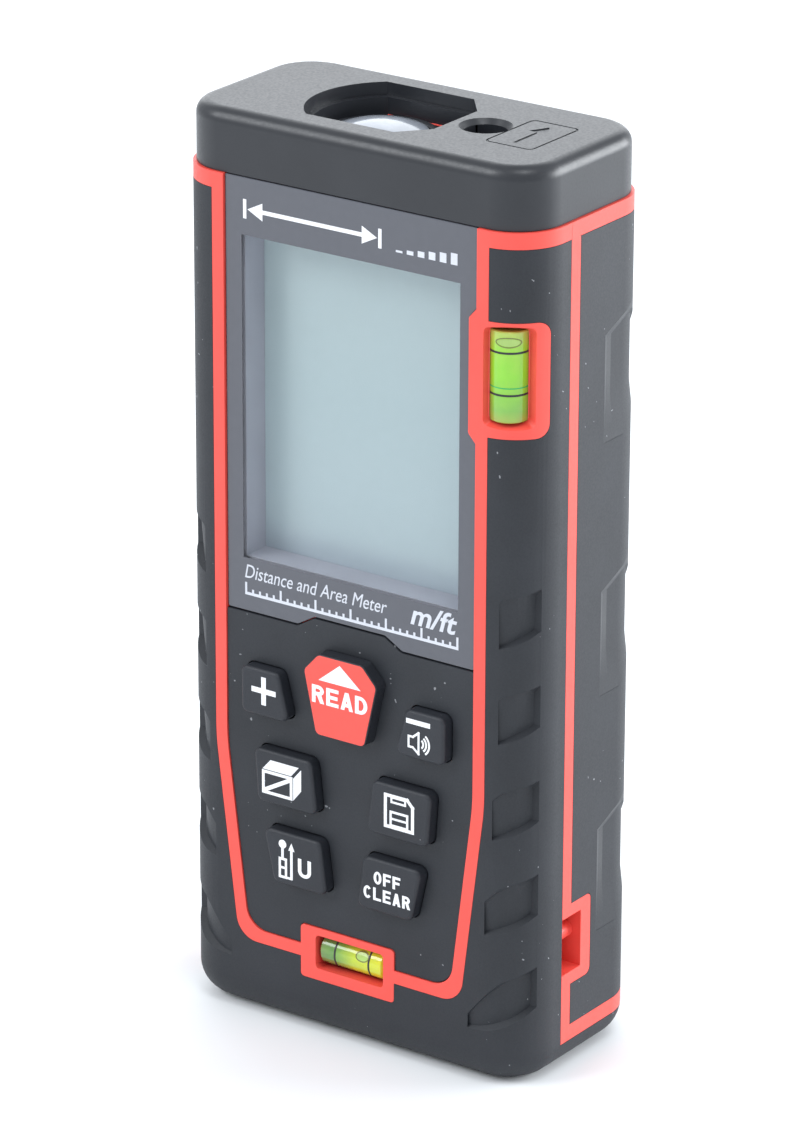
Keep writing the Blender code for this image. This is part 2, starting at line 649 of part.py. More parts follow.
def make_board():
    board = part("main_board", box((-BOARD["x"], BOARD["x"]), (BOARD["front"], BOARD["back"]), BOARD["z"]),
                 BOARD_GREEN, (0.0, BOARD["back"], 55.0))
    cut(board, box((LENS["x"] - 5.8, LENS["x"] + 5.8), (-8, 0), (77.8, 120)))
    for name, corners in KEYS.items():
        x, z = key_centre(corners)
        turned(f"{name}_switch", [(0.0, 0.35), (1.2, 0.3), (2.4, 0.0), (2.4, -0.1), (0.0, -0.1)],
               SPRING_STEEL, (x, BOARD["front"] - 0.4, z), axis="y", steps=12).rotation_euler.x = math.pi / 2
    part("processor_chip", box((-4.5, 4.5), (-3.9, -2.9), (38, 47)), CHIP, (0.0, -3.4, 42.5))
    turned("buzzer", [(0.0, 2.0), (4.2, 2.0), (4.5, 1.7), (4.5, 0.0), (0.0, 0.0)], CHIP,
           (10.0, -3.9, 83.0), axis="y", steps=20)


def make_keys():
    for name, corners in KEYS.items():
        x, z = key_centre(corners)
        travel = bpy.data.objects.new(f"{name}_travel", None)
        front = READ_FACE if name == "read" else KEY_FACE
        travel.location = Vector((x, front, z)) * MM
        PARTS.objects.link(travel)
        face = front + 0.8 if name == "read" else front
        body = prism(rounded(corners, steps=3), "y", (face, -9.2))
        bevel(body, edge_at("y", face), 0.35, 2)
        key = part(f"{name}_key", body, BLACK_RUBBER, (x, front, z), parent=travel)
        join(key, prism(rounded(grown(corners, 0.7), steps=2), "y", (-9.5, -8.9)),
             rod("y", (x, z), 1.5, (-9.2, -6.9), steps=12))
        if name == "read":
            top = prism(rounded(corners, steps=3), "y", (front, face - GAP))
            bevel(top, edge_at("y", front), 0.25, 2)
            part("read_key_cap", top, RED, (x, front, z), parent=travel)


# ---------------------------------------------------------------- optics

def make_optics():
    lens_x, lens_y = LENS["x"], LENS["y"]
    outer = [(7.8, 106.4), (7.8, 100.2), (5.2, 99.6), (3.4, 80.0)]
    inner = [(2.6, 80.0), (4.4, 99.6), (6.0, 101.0), (6.0, 106.4)]
    carrier = turned("optics_carrier", outer + inner, BLACK_PLASTIC, (lens_x, lens_y, 0.0), steps=24, closed=True)
    join(carrier, box((lens_x + 6.9, 13.8), (-4.2, 4.8), (100.6, 106.0)))
    cut(carrier, rod("z", (LASER["x"], LASER["y"]), 3.4, (95, 110), steps=20))
    dome = [(0.0, 2.4)]
    for step in range(1, 6):
        share = step / 5
        dome.append((5.55 * share, 2.4 - 1.15 * share * share))
    turned("receiver_lens", dome + [(5.6, 0.1), (LENS["radius"], 0.1), (LENS["radius"], -0.9), (0.0, -0.9)], CLEAR_GLASS,
           (lens_x, lens_y, 107.8), steps=32)
    turned("lens_ring", [(6.7, 0.45), (6.7, 0.0), (6.2, 0.0), (5.9, 0.3), (5.9, 0.45)], BLACK_PLASTIC,
           (lens_x, lens_y, WELL_FLOOR + GAP), steps=32, closed=True)
    part("sensor_board", box((-9.5, 0.5), (-3.8, 5.0), (76.3, 77.3)), BOARD_GREEN, (lens_x, 0.0, 76.8))
    turned("sensor_can", [(0.0, 1.9), (1.9, 1.9), (2.1, 1.7), (2.1, 0.3), (2.4, 0.3), (2.4, 0.0), (0.0, 0.0)],
           SPRING_STEEL, (lens_x, lens_y, 77.6), steps=16)
    turned("laser_module", [(0.0, 103.0), (1.5, 103.0), (1.5, 105.8), (3.1, 105.8), (3.1, 92.0), (0.0, 92.0)],
           BRASS, (LASER["x"], LASER["y"], 0.0), steps=20)
    turned("laser_window", [(0.0, 107.7), (2.1, 107.7), (2.1, 107.1), (0.0, 107.1)], CLEAR_GLASS,
           (LASER["x"], LASER["y"], 0.0), steps=20)


def make_vials():
    low = LOW_LEVEL
    centre_y, centre_z = low["centre"]
    x_low, x_high = low["window_x"][0] + GAP, low["window_x"][1] - GAP
    half = (x_high - x_low) / 2
    radius = low["radius"]
    turned("front_vial", [(0.0, half), (radius - 0.3, half), (radius, half - 0.3), (radius, 0.3 - half),
                          (radius - 0.3, -half), (0.0, -half)],
           VIAL_FLUID, ((x_low + x_high) / 2, centre_y, centre_z), axis="x", steps=20)
    high = HIGH_LEVEL
    bottom, top = high["vial"]
    radius = high["radius"]
    turned("corner_vial", [(0.0, top), (radius - 0.3, top), (radius, top - 0.3), (radius, bottom + 0.3),
                           (radius - 0.3, bottom), (0.0, bottom)],
           VIAL_FLUID, (*high["centre"], 0.0), steps=20)


# ---------------------------------------------------------------- power

def coil(name, x, y, low, high):
    """Conical battery spring, a closed wire coil with its wide end at the contact plate."""
    curve = bpy.data.curves.new(name, "CURVE")
    curve.dimensions = "3D"
    curve.bevel_depth = 0.22 * MM
    curve.bevel_resolution = 1
    curve.use_fill_caps = True
    turns, per_turn = 3, 12
    spline = curve.splines.new("POLY")
    spline.points.add(turns * per_turn)
    for index, point in enumerate(spline.points):
        share = index / (turns * per_turn)
        radius = 2.9 - 1.1 * share
        angle = 2 * math.pi * turns * share
        height = low + (high - low) * share
        point.co = (radius * math.cos(angle) * MM, radius * math.sin(angle) * MM, height * MM, 1.0)
    obj = bpy.data.objects.new(name, curve)
    PARTS.objects.link(obj)
    obj.location = Vector((x, y, 0.0)) * MM
    curve.materials.append(SPRING_STEEL)


def make_power():
    middle = sum(BAY["z"]) / 2
    y = CELL["y"]
    radius, nub_r, nub = CELL["radius"], CELL["nub_r"], CELL["nub"]
    for side, name in ((1, "a"), (-1, "b")):
        foot = middle - side * 21.8
        body = [(0.0, CELL["length"]), (nub_r, CELL["length"]), (nub_r, CELL["length"] - nub),
                (radius - 0.5, CELL["length"] - nub), (radius, CELL["length"] - nub - 0.5), (radius, 0.4),
                (radius - 0.4, 0.0), (0.0, 0.0)]
        cell = turned(f"battery_{name}", body, CELL_JACKET, (-side * CELL["x"], y, foot), steps=20)
        if side < 0:
            cell.rotation_euler = (math.pi, 0.0, 0.0)
        plate, cell_end = middle - side * 23.75, middle - side * 22.3
        coil(f"battery_spring_{name}", -side * CELL["x"], y, plate, cell_end)
    plate_y = (0.2, 8.4)
    bridge = part("contact_bridge", box((-10.6, 10.6), plate_y, (14.3, 14.75)), SPRING_STEEL, (0.0, y, 14.5))
    join(bridge, rod("z", (CELL["x"], y), 1.6, (14.5, middle - 22.7 - 0.3), steps=16))
    positive = part("contact_positive", box((-10.6, -0.8), plate_y, (63.25, 63.7)), SPRING_STEEL,
                    (-CELL["x"], y, 63.5))
    join(positive, rod("z", (-CELL["x"], y), 1.6, (middle + 22.7 + 0.3, 63.5), steps=16))
    part("contact_negative", box((0.8, 10.6), plate_y, (63.25, 63.7)), SPRING_STEEL, (CELL["x"], y, 63.5))


make_front_boot()
make_rear_grip()
make_keypad_mat()
make_front_housing()
make_rear_housing()
make_screws()
make_top_cap()
make_rear_panel()
make_door()
make_display()
make_board()
make_keys()
make_optics()
make_vials()
make_power()
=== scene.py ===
"""Looks of the laser distance meter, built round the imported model. Lengths here are in millimetres."""

import math

import bpy
from mathutils import Matrix, Vector


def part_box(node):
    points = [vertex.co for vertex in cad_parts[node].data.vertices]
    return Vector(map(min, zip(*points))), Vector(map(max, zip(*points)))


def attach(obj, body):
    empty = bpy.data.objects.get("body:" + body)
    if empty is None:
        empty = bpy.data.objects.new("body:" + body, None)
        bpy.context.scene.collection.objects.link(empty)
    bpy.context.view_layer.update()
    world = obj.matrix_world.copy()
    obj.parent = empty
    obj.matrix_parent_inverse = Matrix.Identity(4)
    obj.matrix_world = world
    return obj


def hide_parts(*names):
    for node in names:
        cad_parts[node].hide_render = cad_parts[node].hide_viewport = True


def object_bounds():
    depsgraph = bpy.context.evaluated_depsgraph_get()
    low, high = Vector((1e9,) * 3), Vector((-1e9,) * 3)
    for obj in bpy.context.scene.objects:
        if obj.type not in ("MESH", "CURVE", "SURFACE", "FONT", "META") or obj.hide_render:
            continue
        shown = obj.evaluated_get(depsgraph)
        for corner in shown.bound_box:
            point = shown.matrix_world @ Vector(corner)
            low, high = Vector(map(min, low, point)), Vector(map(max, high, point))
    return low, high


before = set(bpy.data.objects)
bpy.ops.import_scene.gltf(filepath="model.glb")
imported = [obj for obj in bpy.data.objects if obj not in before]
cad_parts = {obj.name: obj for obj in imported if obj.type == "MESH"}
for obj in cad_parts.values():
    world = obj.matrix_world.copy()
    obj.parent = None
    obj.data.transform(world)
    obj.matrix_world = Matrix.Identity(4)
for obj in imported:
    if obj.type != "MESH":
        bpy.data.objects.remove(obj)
cad_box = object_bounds()

MM = 0.001
GROOVE = 0.05            # parting line that shows between the moulded pieces


def reach(node):
    """Lowest and highest corner of a CAD node, in millimetres."""
    low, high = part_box(node)
    return Vector(low) / MM, Vector(high) / MM


BOOT_LOW, BOOT_HIGH = reach("front_boot")
WIDTH = BOOT_HIGH.x - BOOT_LOW.x
BACK = -BOOT_LOW.y
HEIGHT = (Vector(cad_box[1]) / MM).z
CORNER = 6.3             # radius of the upright corners
FOOT_EDGE = 4.0          # radius round the foot
RUBBER = 1.0             # how far in the rubber's inner face lies
SKIN = 1.3               # how far in the red housing's outer face lies
CAVITY = 2.7             # how far in its inner face lies
CAP_FOOT = reach("top_cap")[0].z
HOUSING_TOP = CAP_FOOT - 0.08
BAND_FOOT = 102.7        # lower edge of the red band under the cap
PARTING = -4.6           # where the two red housings meet
STRIPE_BACK = -2.8
LOW_BAND = (3.65, 5.6)
LINE_WIDTH = 1.6         # red line round the keypad
LINE_CORNERS = ((18.4, 125.0, 0.0), (18.4, 35.0, 30.0), (15.35, 10.4, 2.2))
KEYPAD_FACE = reach("keypad_mat")[0].y
WINDOW_FACE = reach("display_window")[0].y
KEY_FACE = reach("plus_key")[0].y
READ_FACE = reach("read_key_cap")[0].y


# ------------------------------------------------------------------ modelling by operators

def choose(piece):
    """Makes one piece the only one selected, and the active one."""
    bpy.ops.object.select_all(action="DESELECT")
    piece.select_set(True)
    bpy.context.view_layer.objects.active = piece


def pick(piece, test):
    """Selects the edges whose two ends, in millimetres, pass the test, and enters edit mode."""
    choose(piece)
    mesh = piece.data
    bpy.context.tool_settings.mesh_select_mode = (False, True, False)
    for group in (mesh.vertices, mesh.edges, mesh.polygons):
        for item in group:
            item.select = False
    for edge in mesh.edges:
        ends = [mesh.vertices[index] for index in edge.vertices]
        if test(*(end.co / MM for end in ends)):
            edge.select = True
            for end in ends:
                end.select = True
    bpy.ops.object.mode_set(mode="EDIT")


def bevel_where(piece, test, width, segments):
    pick(piece, test)
    bpy.ops.mesh.bevel(offset=width * MM, offset_type="OFFSET", segments=segments, affect="EDGES")
    bpy.ops.object.mode_set(mode="OBJECT")
    return piece


def is_upright(first, second):
    return (first - second).xy.length < 1e-3


def is_deep(first, second):
    return abs(first.x - second.x) < 1e-3 and abs(first.z - second.z) < 1e-3


def at(axis, value):
    index = "xyz".index(axis)
    return lambda first, second: abs(first[index] - value) < 1e-3 and abs(second[index] - value) < 1e-3


def settle():
    """Applies the active piece's place, turn and scale to its mesh."""
    bpy.ops.object.transform_apply(location=True, rotation=True, scale=True)


def block(name, x, y, z):
    middle = [sum(pair) / 2 * MM for pair in (x, y, z)]
    bpy.ops.object.select_all(action="DESELECT")
    bpy.ops.mesh.primitive_cube_add(size=1.0, location=middle, scale=[(b - a) * MM for a, b in (x, y, z)])
    piece = bpy.context.active_object
    piece.name = name
    settle()
    return piece


TURNS = {"x": (0.0, math.pi / 2, 0.0), "y": (-math.pi / 2, 0.0, 0.0), "z": (0.0, 0.0, 0.0)}


def rod(name, axis, centre, radius, span, sides=48, tip=None):
    """Cylinder or cone along an axis; centre holds the other two coordinates in axis order."""
    middle = (span[0] + span[1]) / 2
    place = {"x": (middle, *centre), "y": (centre[0], middle, centre[1]), "z": (*centre, middle)}[axis]
    bpy.ops.object.select_all(action="DESELECT")
    bpy.ops.mesh.primitive_cone_add(vertices=sides, radius1=radius * MM,
                                    radius2=(radius if tip is None else tip) * MM,
                                    depth=(span[1] - span[0]) * MM, location=Vector(place) * MM,
                                    rotation=TURNS[axis])
    piece = bpy.context.active_object
    piece.name = name
    settle()
    return piece


def outer_form(name, inset, top=HEIGHT + 8, foot=None, top_edge=0.0):
    """The meter's outer form moved inwards: a box with round corners and a round foot."""
    low = inset if foot is None else foot
    half_x, half_y = WIDTH / 2 - inset, BACK - inset
    piece = block(name, (-half_x, half_x), (-half_y, half_y), (low, top))
    bevel_where(piece, is_upright, CORNER - inset, 18)
    if foot is None:
        bevel_where(piece, at("z", low), FOOT_EDGE - inset, 10)
    if top_edge:
        bevel_where(piece, at("z", top), top_edge, 8)
    return piece


def rounded(corners, steps=8):
    """Closed outline from (u, v, radius) corners, with an arc at each corner."""
    outline = []
    count = len(corners)
    for index, (u, v, radius) in enumerate(corners):
        here = Vector((u, v))
        if radius == 0.0:
            outline.append(here)
            continue
        before = (Vector(corners[index - 1][:2]) - here).normalized()
        after = (Vector(corners[(index + 1) % count][:2]) - here).normalized()
        half = before.angle(after) / 2
        centre = here + (before + after).normalized() * (radius / math.sin(half))
        start = here + before * (radius / math.tan(half)) - centre
        sweep = start.angle_signed(here + after * (radius / math.tan(half)) - centre)
        for step in range(steps + 1):
            outline.append(centre + Matrix.Rotation(-sweep * step / steps, 2) @ start)
    return [(point.x, point.y) for point in outline]


def grown(corners, distance):
    """Outline corners moved outwards; the corners run anticlockwise."""
    moved = []
    count = len(corners)
    for index, (u, v, radius) in enumerate(corners):
        here = Vector((u, v))
        into = (here - Vector(corners[index - 1][:2])).normalized()
        out = (Vector(corners[(index + 1) % count][:2]) - here).normalized()
        normal_in, normal_out = Vector((into.y, -into.x)), Vector((out.y, -out.x))
        shift = (normal_in + normal_out) / (1 + normal_in.dot(normal_out))
        wider = radius if radius == 0.0 else max(radius + math.copysign(distance, into.cross(out)), 0.1)
        moved.append((*(here + shift * distance), wider))
    return moved


def mirrored(corners):
    return [(-u, v, radius) for u, v, radius in reversed(corners)]


PLANES = {"x": Matrix(((0, 0, 1), (1, 0, 0), (0, 1, 0))), "y": Matrix(((1, 0, 0), (0, 0, -1), (0, 1, 0))),
          "z": Matrix.Identity(3)}


def slab(name, outline, axis, span, holes=()):
    """Flat outline given a thickness along an axis; (u, v) are (y, z), (x, z) or (x, y)."""
    curve = bpy.data.curves.new(name, "CURVE")
    curve.dimensions = "2D"
    curve.fill_mode = "BOTH"
    curve.extrude = (span[1] - span[0]) / 2 * MM
    for points in (outline, *holes):
        spline = curve.splines.new("POLY")
        spline.points.add(len(points) - 1)
        for point, (u, v) in zip(spline.points, points):
            point.co = (u * MM, v * MM, 0.0, 1.0)
        spline.use_cyclic_u = True
    piece = bpy.data.objects.new(name, curve)
    bpy.context.scene.collection.objects.link(piece)
    choose(piece)
    bpy.ops.object.convert(target="MESH")
    piece = bpy.context.active_object
    bpy.ops.object.mode_set(mode="EDIT")
    bpy.ops.mesh.select_all(action="SELECT")
    bpy.ops.mesh.remove_doubles(threshold=1e-7)
    bpy.ops.mesh.dissolve_limited(angle_limit=0.002)
    bpy.ops.mesh.normals_make_consistent(inside=False)
    bpy.ops.object.mode_set(mode="OBJECT")
    shift = Vector((0.0, 0.0, 0.0))
    shift["xyz".index(axis)] = (span[0] + span[1]) / 2 * MM
    piece.matrix_world = Matrix.Translation(shift) @ PLANES[axis].to_4x4()
    settle()
    return piece


def turned(name, profile, centre, axis="z", sides=64, closed=False):
    """Turned piece from (radius, height) points down its outside."""
    curve = bpy.data.curves.new(name, "CURVE")
    curve.dimensions = "3D"
    spline = curve.splines.new("POLY")
    spline.points.add(len(profile) - 1)
    for point, (radius, height) in zip(spline.points, profile):
        point.co = (radius * MM, 0.0, height * MM, 1.0)
    spline.use_cyclic_u = closed
    piece = bpy.data.objects.new(name, curve)
    bpy.context.scene.collection.objects.link(piece)
    choose(piece)
    bpy.ops.object.convert(target="MESH")
    piece = bpy.context.active_object
    bpy.ops.object.modifier_add(type="SCREW")
    screw = piece.modifiers[-1]
    screw.steps = screw.render_steps = sides
    screw.use_merge_vertices = True
    screw.merge_threshold = 1e-6
    bpy.ops.object.modifier_apply(modifier=screw.name)
    bpy.ops.object.mode_set(mode="EDIT")
    bpy.ops.mesh.select_all(action="SELECT")
    bpy.ops.mesh.remove_doubles(threshold=1e-7)
    bpy.ops.mesh.normals_make_consistent(inside=False)
    bpy.ops.object.mode_set(mode="OBJECT")
    piece.rotation_euler = TURNS[axis]
    piece.location = Vector(centre) * MM
    settle()
    return piece


def turn_upright(piece, degrees, place=(0.0, 0.0, 0.0)):
    """Turns a piece about the upright axis, then moves it."""
    piece.rotation_euler = (0.0, 0.0, math.radians(degrees))
    piece.location = Vector(place) * MM
    choose(piece)
    settle()
    return piece


def flare(piece, axis, value, factors):
    """Widens or narrows the end of a piece that lies where the axis has the value."""
    pick(piece, at(axis, value))
    bpy.ops.transform.resize(value=factors)
    bpy.ops.object.mode_set(mode="OBJECT")
    return piece


def slice_off(piece, point, normal):
    """Cuts away the side of the piece that the normal points to, and closes the cut."""
    choose(piece)
    bpy.ops.object.mode_set(mode="EDIT")
    bpy.ops.mesh.select_all(action="SELECT")
    bpy.ops.mesh.bisect(plane_co=Vector(point) * MM, plane_no=normal, use_fill=True, clear_outer=True)
    bpy.ops.object.mode_set(mode="OBJECT")
    return piece


def combine(piece, operation, tools):
    for cutter in tools:
        choose(piece)
        bpy.ops.object.modifier_add(type="BOOLEAN")
        boolean = piece.modifiers[-1]
        boolean.operation = operation
        boolean.solver = "EXACT"
        boolean.object = cutter
        bpy.ops.object.modifier_apply(modifier=boolean.name)
        bpy.data.objects.remove(cutter)
    return piece


def cut(piece, *tools):
    return combine(piece, "DIFFERENCE", tools)


def join(piece, *tools):
    return combine(piece, "UNION", tools)


def keep(piece, *tools):
    return combine(piece, "INTERSECT", tools)


def gather(name, *pieces):
    """Several loose pieces as one object."""
    choose(pieces[0])
    for piece in pieces:
        piece.select_set(True)
    bpy.ops.object.join()
    whole = bpy.context.active_object
    whole.name = name
    return whole


def soften(piece, width, segments=2, angle=32):
    """Rounds the piece's sharp edges a little, as moulding leaves them."""
    choose(piece)
    bpy.ops.object.modifier_add(type="BEVEL")
    bevel = piece.modifiers[-1]
    bevel.width = width * MM
    bevel.segments = segments
    bevel.limit_method = "ANGLE"
    bevel.angle_limit = math.radians(angle)
    bevel.use_clamp_overlap = True
    bpy.ops.object.modifier_apply(modifier=bevel.name)
    return piece


def complete(piece, material, body="housing", replaced=(), angle=38):
    """Shades a finished piece, gives it its finish and its body, and hides the CAD nodes it stands for."""
    choose(piece)
    piece.data.materials.clear()
    piece.data.materials.append(material)
    bpy.ops.object.shade_smooth_by_angle(angle=math.radians(angle))
    bpy.ops.object.modifier_add(type="WEIGHTED_NORMAL")
    weighted = piece.modifiers[-1]
    weighted.keep_sharp = True
    bpy.ops.object.modifier_apply(modifier=weighted.name)
    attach(piece, body)
    if replaced:
        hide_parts(*replaced)
    return piece


# ------------------------------------------------------------------ finishes

class Value:
    """A socket in a finish; arithmetic on it adds Math nodes."""

    def __init__(self, finish, socket):
        self.finish = finish
        self.socket = socket

    def math(self, operation, *others, first=None):
        items = [self if first is None else first, *others]
        node = self.finish.tree.nodes.new("ShaderNodeMath")
        node.operation = operation
        for socket, item in zip(node.inputs, items):
            self.finish.feed(socket, item)
        return Value(self.finish, node.outputs[0])

    def __add__(self, other):
        return self.math("ADD", other)

    __radd__ = __add__

    def __sub__(self, other):
        return self.math("SUBTRACT", other)

    def __rsub__(self, other):
        return self.math("SUBTRACT", self, first=other)

    def __mul__(self, other):
        return self.math("MULTIPLY", other)

    __rmul__ = __mul__

    def __truediv__(self, other):
        return self.math("DIVIDE", other)

    def __gt__(self, other):
        return self.math("GREATER_THAN", other)

    def __lt__(self, other):
        return self.math("LESS_THAN", other)


class Finish:
    """One material: the shader, and a method that adds any node."""

    def __init__(self, name, colour, roughness, **constants):
        self.material = bpy.data.materials.new(name)
        self.material.use_nodes = True
        self.tree = self.material.node_tree
        self.shader = self.tree.nodes["Principled BSDF"]
        self.set(Base_Color=(*colour, 1.0), Roughness=roughness, **constants)
        self.place = self.node("ShaderNodeTexCoord", out="Object")

    def feed(self, socket, item):
        if isinstance(item, Value):
            self.tree.links.new(item.socket, socket)
        else:
            socket.default_value = item

    def node(self, kind, settings=None, out=0, **sockets):
        node = self.tree.nodes.new(kind)
        for key, item in (settings or {}).items():
            if key == "stops":
                ramp = node.color_ramp
                while len(ramp.elements) < len(item):
                    ramp.elements.new(0.5)
                for element, (position, colour) in zip(ramp.elements, item):
                    element.position = position
                    element.color = (*colour, 1.0)
            else:
                setattr(node, key, item)
        for key, item in sockets.items():
            self.feed(node.inputs[key.replace("_", " ")], item)
        return Value(self, node.outputs[out])

    def set(self, **sockets):
        for key, item in sockets.items():
            self.feed(self.shader.inputs[key.replace("_", " ")], item)

    def noise(self, scale, detail=3.0):
        return self.node("ShaderNodeTexNoise", Vector=self.place, Scale=scale, Detail=detail)

    def along(self, axis):
        """The place along an axis, in millimetres."""
        split = self.node("ShaderNodeSeparateXYZ", out="XYZ".index(axis), Vector=self.place)
        return split * (1 / MM)

    def ramp(self, value, *stops):
        return self.node("ShaderNodeValToRGB", {"stops": stops}, Fac=value)

    def span(self, value, low, high, to_low=0.0, to_high=1.0):
        return self.node("ShaderNodeMapRange", Value=value, From_Min=low, From_Max=high, To_Min=to_low,
                         To_Max=to_high)

    def mix(self, amount, first, second):
        node = self.tree.nodes.new("ShaderNodeMix")
        node.data_type = "RGBA"
        self.feed(node.inputs["Factor"], amount)
        for key, item in (("A", first), ("B", second)):
            socket = [entry for entry in node.inputs if entry.name == key and entry.type == "RGBA"][0]
            self.feed(socket, item if isinstance(item, Value) else (*item, 1.0))
        return Value(self, [entry for entry in node.outputs if entry.type == "RGBA"][0])

    def bump(self, height, strength, distance):
        self.set(Normal=self.node("ShaderNodeBump", Height=height, Strength=strength,
                                  Distance=distance * MM))


HOLLOWS = (17.2, 46.9, 78.0)     # feet of the finger hollows in the rear grip
HOLLOW_FRONT = 2.5
HOLLOW_TALL = 11.5               # at the front edge
HOLLOW_SLANT = 0.42              # how fast the top rises towards the back


def painted_facet_light(finish):
    """Painted light on the rear grip: the sloping edges of its hollows drawn paler, as a light from the back
    right would make them.
    """
    x, y, z = finish.along("X"), finish.along("Y"), finish.along("Z")
    facet_lit = 0.0
    for low in HOLLOWS:
        line = (y - HOLLOW_FRONT) * HOLLOW_SLANT + (low + HOLLOW_TALL)
        front = (y < 4.4) * finish.span(z, low, low + 7.0)
        above = z > line - 1.2
        facet_lit = facet_lit + (front + above - front * above) * (z < line)
    return facet_lit * (y > HOLLOW_FRONT) * (x * x > 290.0) * finish.span(y, 6.5, 10.5, 1.0, 0.0)


def moulded(name, colour, roughness, grain=0.25, relief=0.02, dust=0.0, wear=0.12, painted_light=None, **constants):
    """Moulded rubber or plastic: fine spark-eroded grain, faint mottling and, on rubber, specks of dust;
    where asked, painted light makes some faces paler.
    """
    finish = Finish(name, colour, roughness, **constants)
    cloudy = finish.noise(120.0, 4.0)
    fine = finish.noise(1.0 / (grain * MM), 2.0)
    shade = finish.span(cloudy, 0.3, 0.7)
    lighter = tuple(min(1.0, channel * (1 + wear) + 0.002) for channel in colour)
    darker = tuple(channel * (1 - wear) for channel in colour)
    base = finish.mix(shade, darker, lighter)
    if dust:
        specks = finish.noise(1600.0, 1.0) > 1 - dust
        patches = finish.noise(70.0, 2.0) > 0.52
        base = finish.mix(specks * patches * 0.7, base, (0.32, 0.33, 0.35))
    # painted light: the masked faces get a paler colour, as if lit more strongly
    if painted_light:
        base = finish.mix(painted_light(finish), base, tuple(channel + 0.042 for channel in colour))
    finish.set(Base_Color=base, Roughness=finish.span(fine, 0.25, 0.75, roughness - 0.06, roughness + 0.08))
    finish.bump(fine, 0.35, relief)
    return finish.material


RUBBER_LOOK = ((0.013, 0.0155, 0.021), 0.56, 0.22, 0.02, 0.235)     # colour, roughness, grain, relief, dust
RUBBER_FINISH = moulded("soft_black_rubber", *RUBBER_LOOK)
# rear grip rubber, with painted light on the sloping edges of its finger hollows
GRIP_FINISH = moulded("rear_grip_rubber", *RUBBER_LOOK, painted_light=painted_facet_light)
KEY_RUBBER = moulded("key_rubber", (0.0145, 0.017, 0.0235), 0.54, grain=0.18, relief=0.015, dust=0.2)
RED_FINISH = moulded("coral_red_housing", (0.86, 0.080, 0.060), 0.42, grain=0.4, relief=0.006, wear=0.03)
CAP_FINISH = moulded("dark_cap_plastic", (0.018, 0.020, 0.025), 0.36, grain=0.3, relief=0.012, wear=0.06)
DOOR_FINISH = moulded("door_plastic", (0.018, 0.020, 0.024), 0.48, grain=0.3, relief=0.03, wear=0.06)
WELL_FINISH = moulded("matt_black_well", (0.022, 0.024, 0.029), 0.6, grain=0.3, relief=0.01)
BEZEL_FINISH = moulded("grey_display_well", (0.43, 0.44, 0.50), 0.5, grain=0.3, relief=0.01, wear=0.05)
PRINT_WHITE = moulded("white_print", (0.86, 0.87, 0.90), 0.5, grain=0.2, relief=0.004, wear=0.03)
LABEL_FINISH = moulded("blank_label", (0.22, 0.23, 0.25), 0.42, grain=0.2, relief=0.006, wear=0.08)
PRINT_GREY = moulded("silver_print", (0.62, 0.64, 0.70), 0.4, grain=0.2, relief=0.004, wear=0.04)


VIEW_X = 15.2            # half width of the window's clear part
VIEW_Z = (58.3, 97.7)


def window_finish():
    """Hard-coated window: a grey print, left clear over the display."""
    finish = Finish("printed_window", (0.08, 0.083, 0.10), 0.2, Coat_Weight=0.3, Coat_Roughness=0.06)
    x, y, z = finish.along("X"), finish.along("Y"), finish.along("Z")
    inside = (x > -VIEW_X) * (x < VIEW_X) * (z > VIEW_Z[0]) * (z < VIEW_Z[1])
    covered = (y < -11.6) * (1 - inside)
    print_colour = finish.mix(finish.noise(900.0, 1.0), (0.078, 0.082, 0.100), (0.088, 0.092, 0.110))
    finish.set(Base_Color=print_colour, Alpha=covered * 0.9 + 0.1)
    finish.bump(finish.noise(200.0, 2.0), 0.05, 0.01)
    return finish.material


def lcd_finish():
    """Unlit display: pale grey-green, faintly mottled, its tone changing with height."""
    finish = Finish("pale_display", (0.44, 0.55, 0.57), 0.28, Coat_Weight=0.3, Coat_Roughness=0.1)
    z = finish.along("Z")
    height = finish.span(z, VIEW_Z[0], VIEW_Z[1])
    # darker and bluer along the bottom edge: painted shade from the window's frame
    tone = finish.ramp(height, (0.0, (0.47, 0.55, 0.61)), (0.10, (0.51, 0.63, 0.66)),
                       (0.55, (0.50, 0.63, 0.65)), (1.0, (0.53, 0.65, 0.66)))
    mottle = finish.noise(900.0, 3.0)
    finish.set(Base_Color=finish.mix(mottle * 0.18, tone, (0.33, 0.44, 0.46)))
    return finish.material


def lens_finish():
    """Moulded collecting lens: milky, faintly ribbed, with a glossy coating."""
    finish = Finish("coated_lens", (0.34, 0.36, 0.41), 0.16, Coat_Weight=0.4, Coat_Roughness=0.03)
    streaks = finish.noise(420.0, 4.0)
    finish.set(Base_Color=finish.mix(streaks, (0.20, 0.22, 0.26), (0.44, 0.47, 0.53)))
    finish.bump(streaks, 0.2, 0.03)
    return finish.material


def metal_finish(name, colour, roughness, streak):
    finish = Finish(name, colour, roughness, Metallic=1.0)
    brushed = finish.noise(streak, 3.0)
    finish.set(Base_Color=finish.mix(brushed, colour, tuple(channel * 0.8 for channel in colour)),
               Roughness=finish.span(brushed, 0.2, 0.8, roughness - 0.08, roughness + 0.1))
    finish.bump(brushed, 0.2, 0.01)
    return finish.material


def board_finish():
    """Solder-masked board with darker tracks under the mask."""
    finish = Finish("circuit_board_green", (0.02, 0.16, 0.06), 0.35, Coat_Weight=0.3)
    tracks = finish.node("ShaderNodeTexVoronoi", {"feature": "DISTANCE_TO_EDGE"}, Vector=finish.place,
                         Scale=450.0)
    finish.set(Base_Color=finish.mix(tracks > 0.12, (0.03, 0.24, 0.09), (0.015, 0.13, 0.05)))
    finish.bump(tracks > 0.12, 0.3, 0.02)
    return finish.material


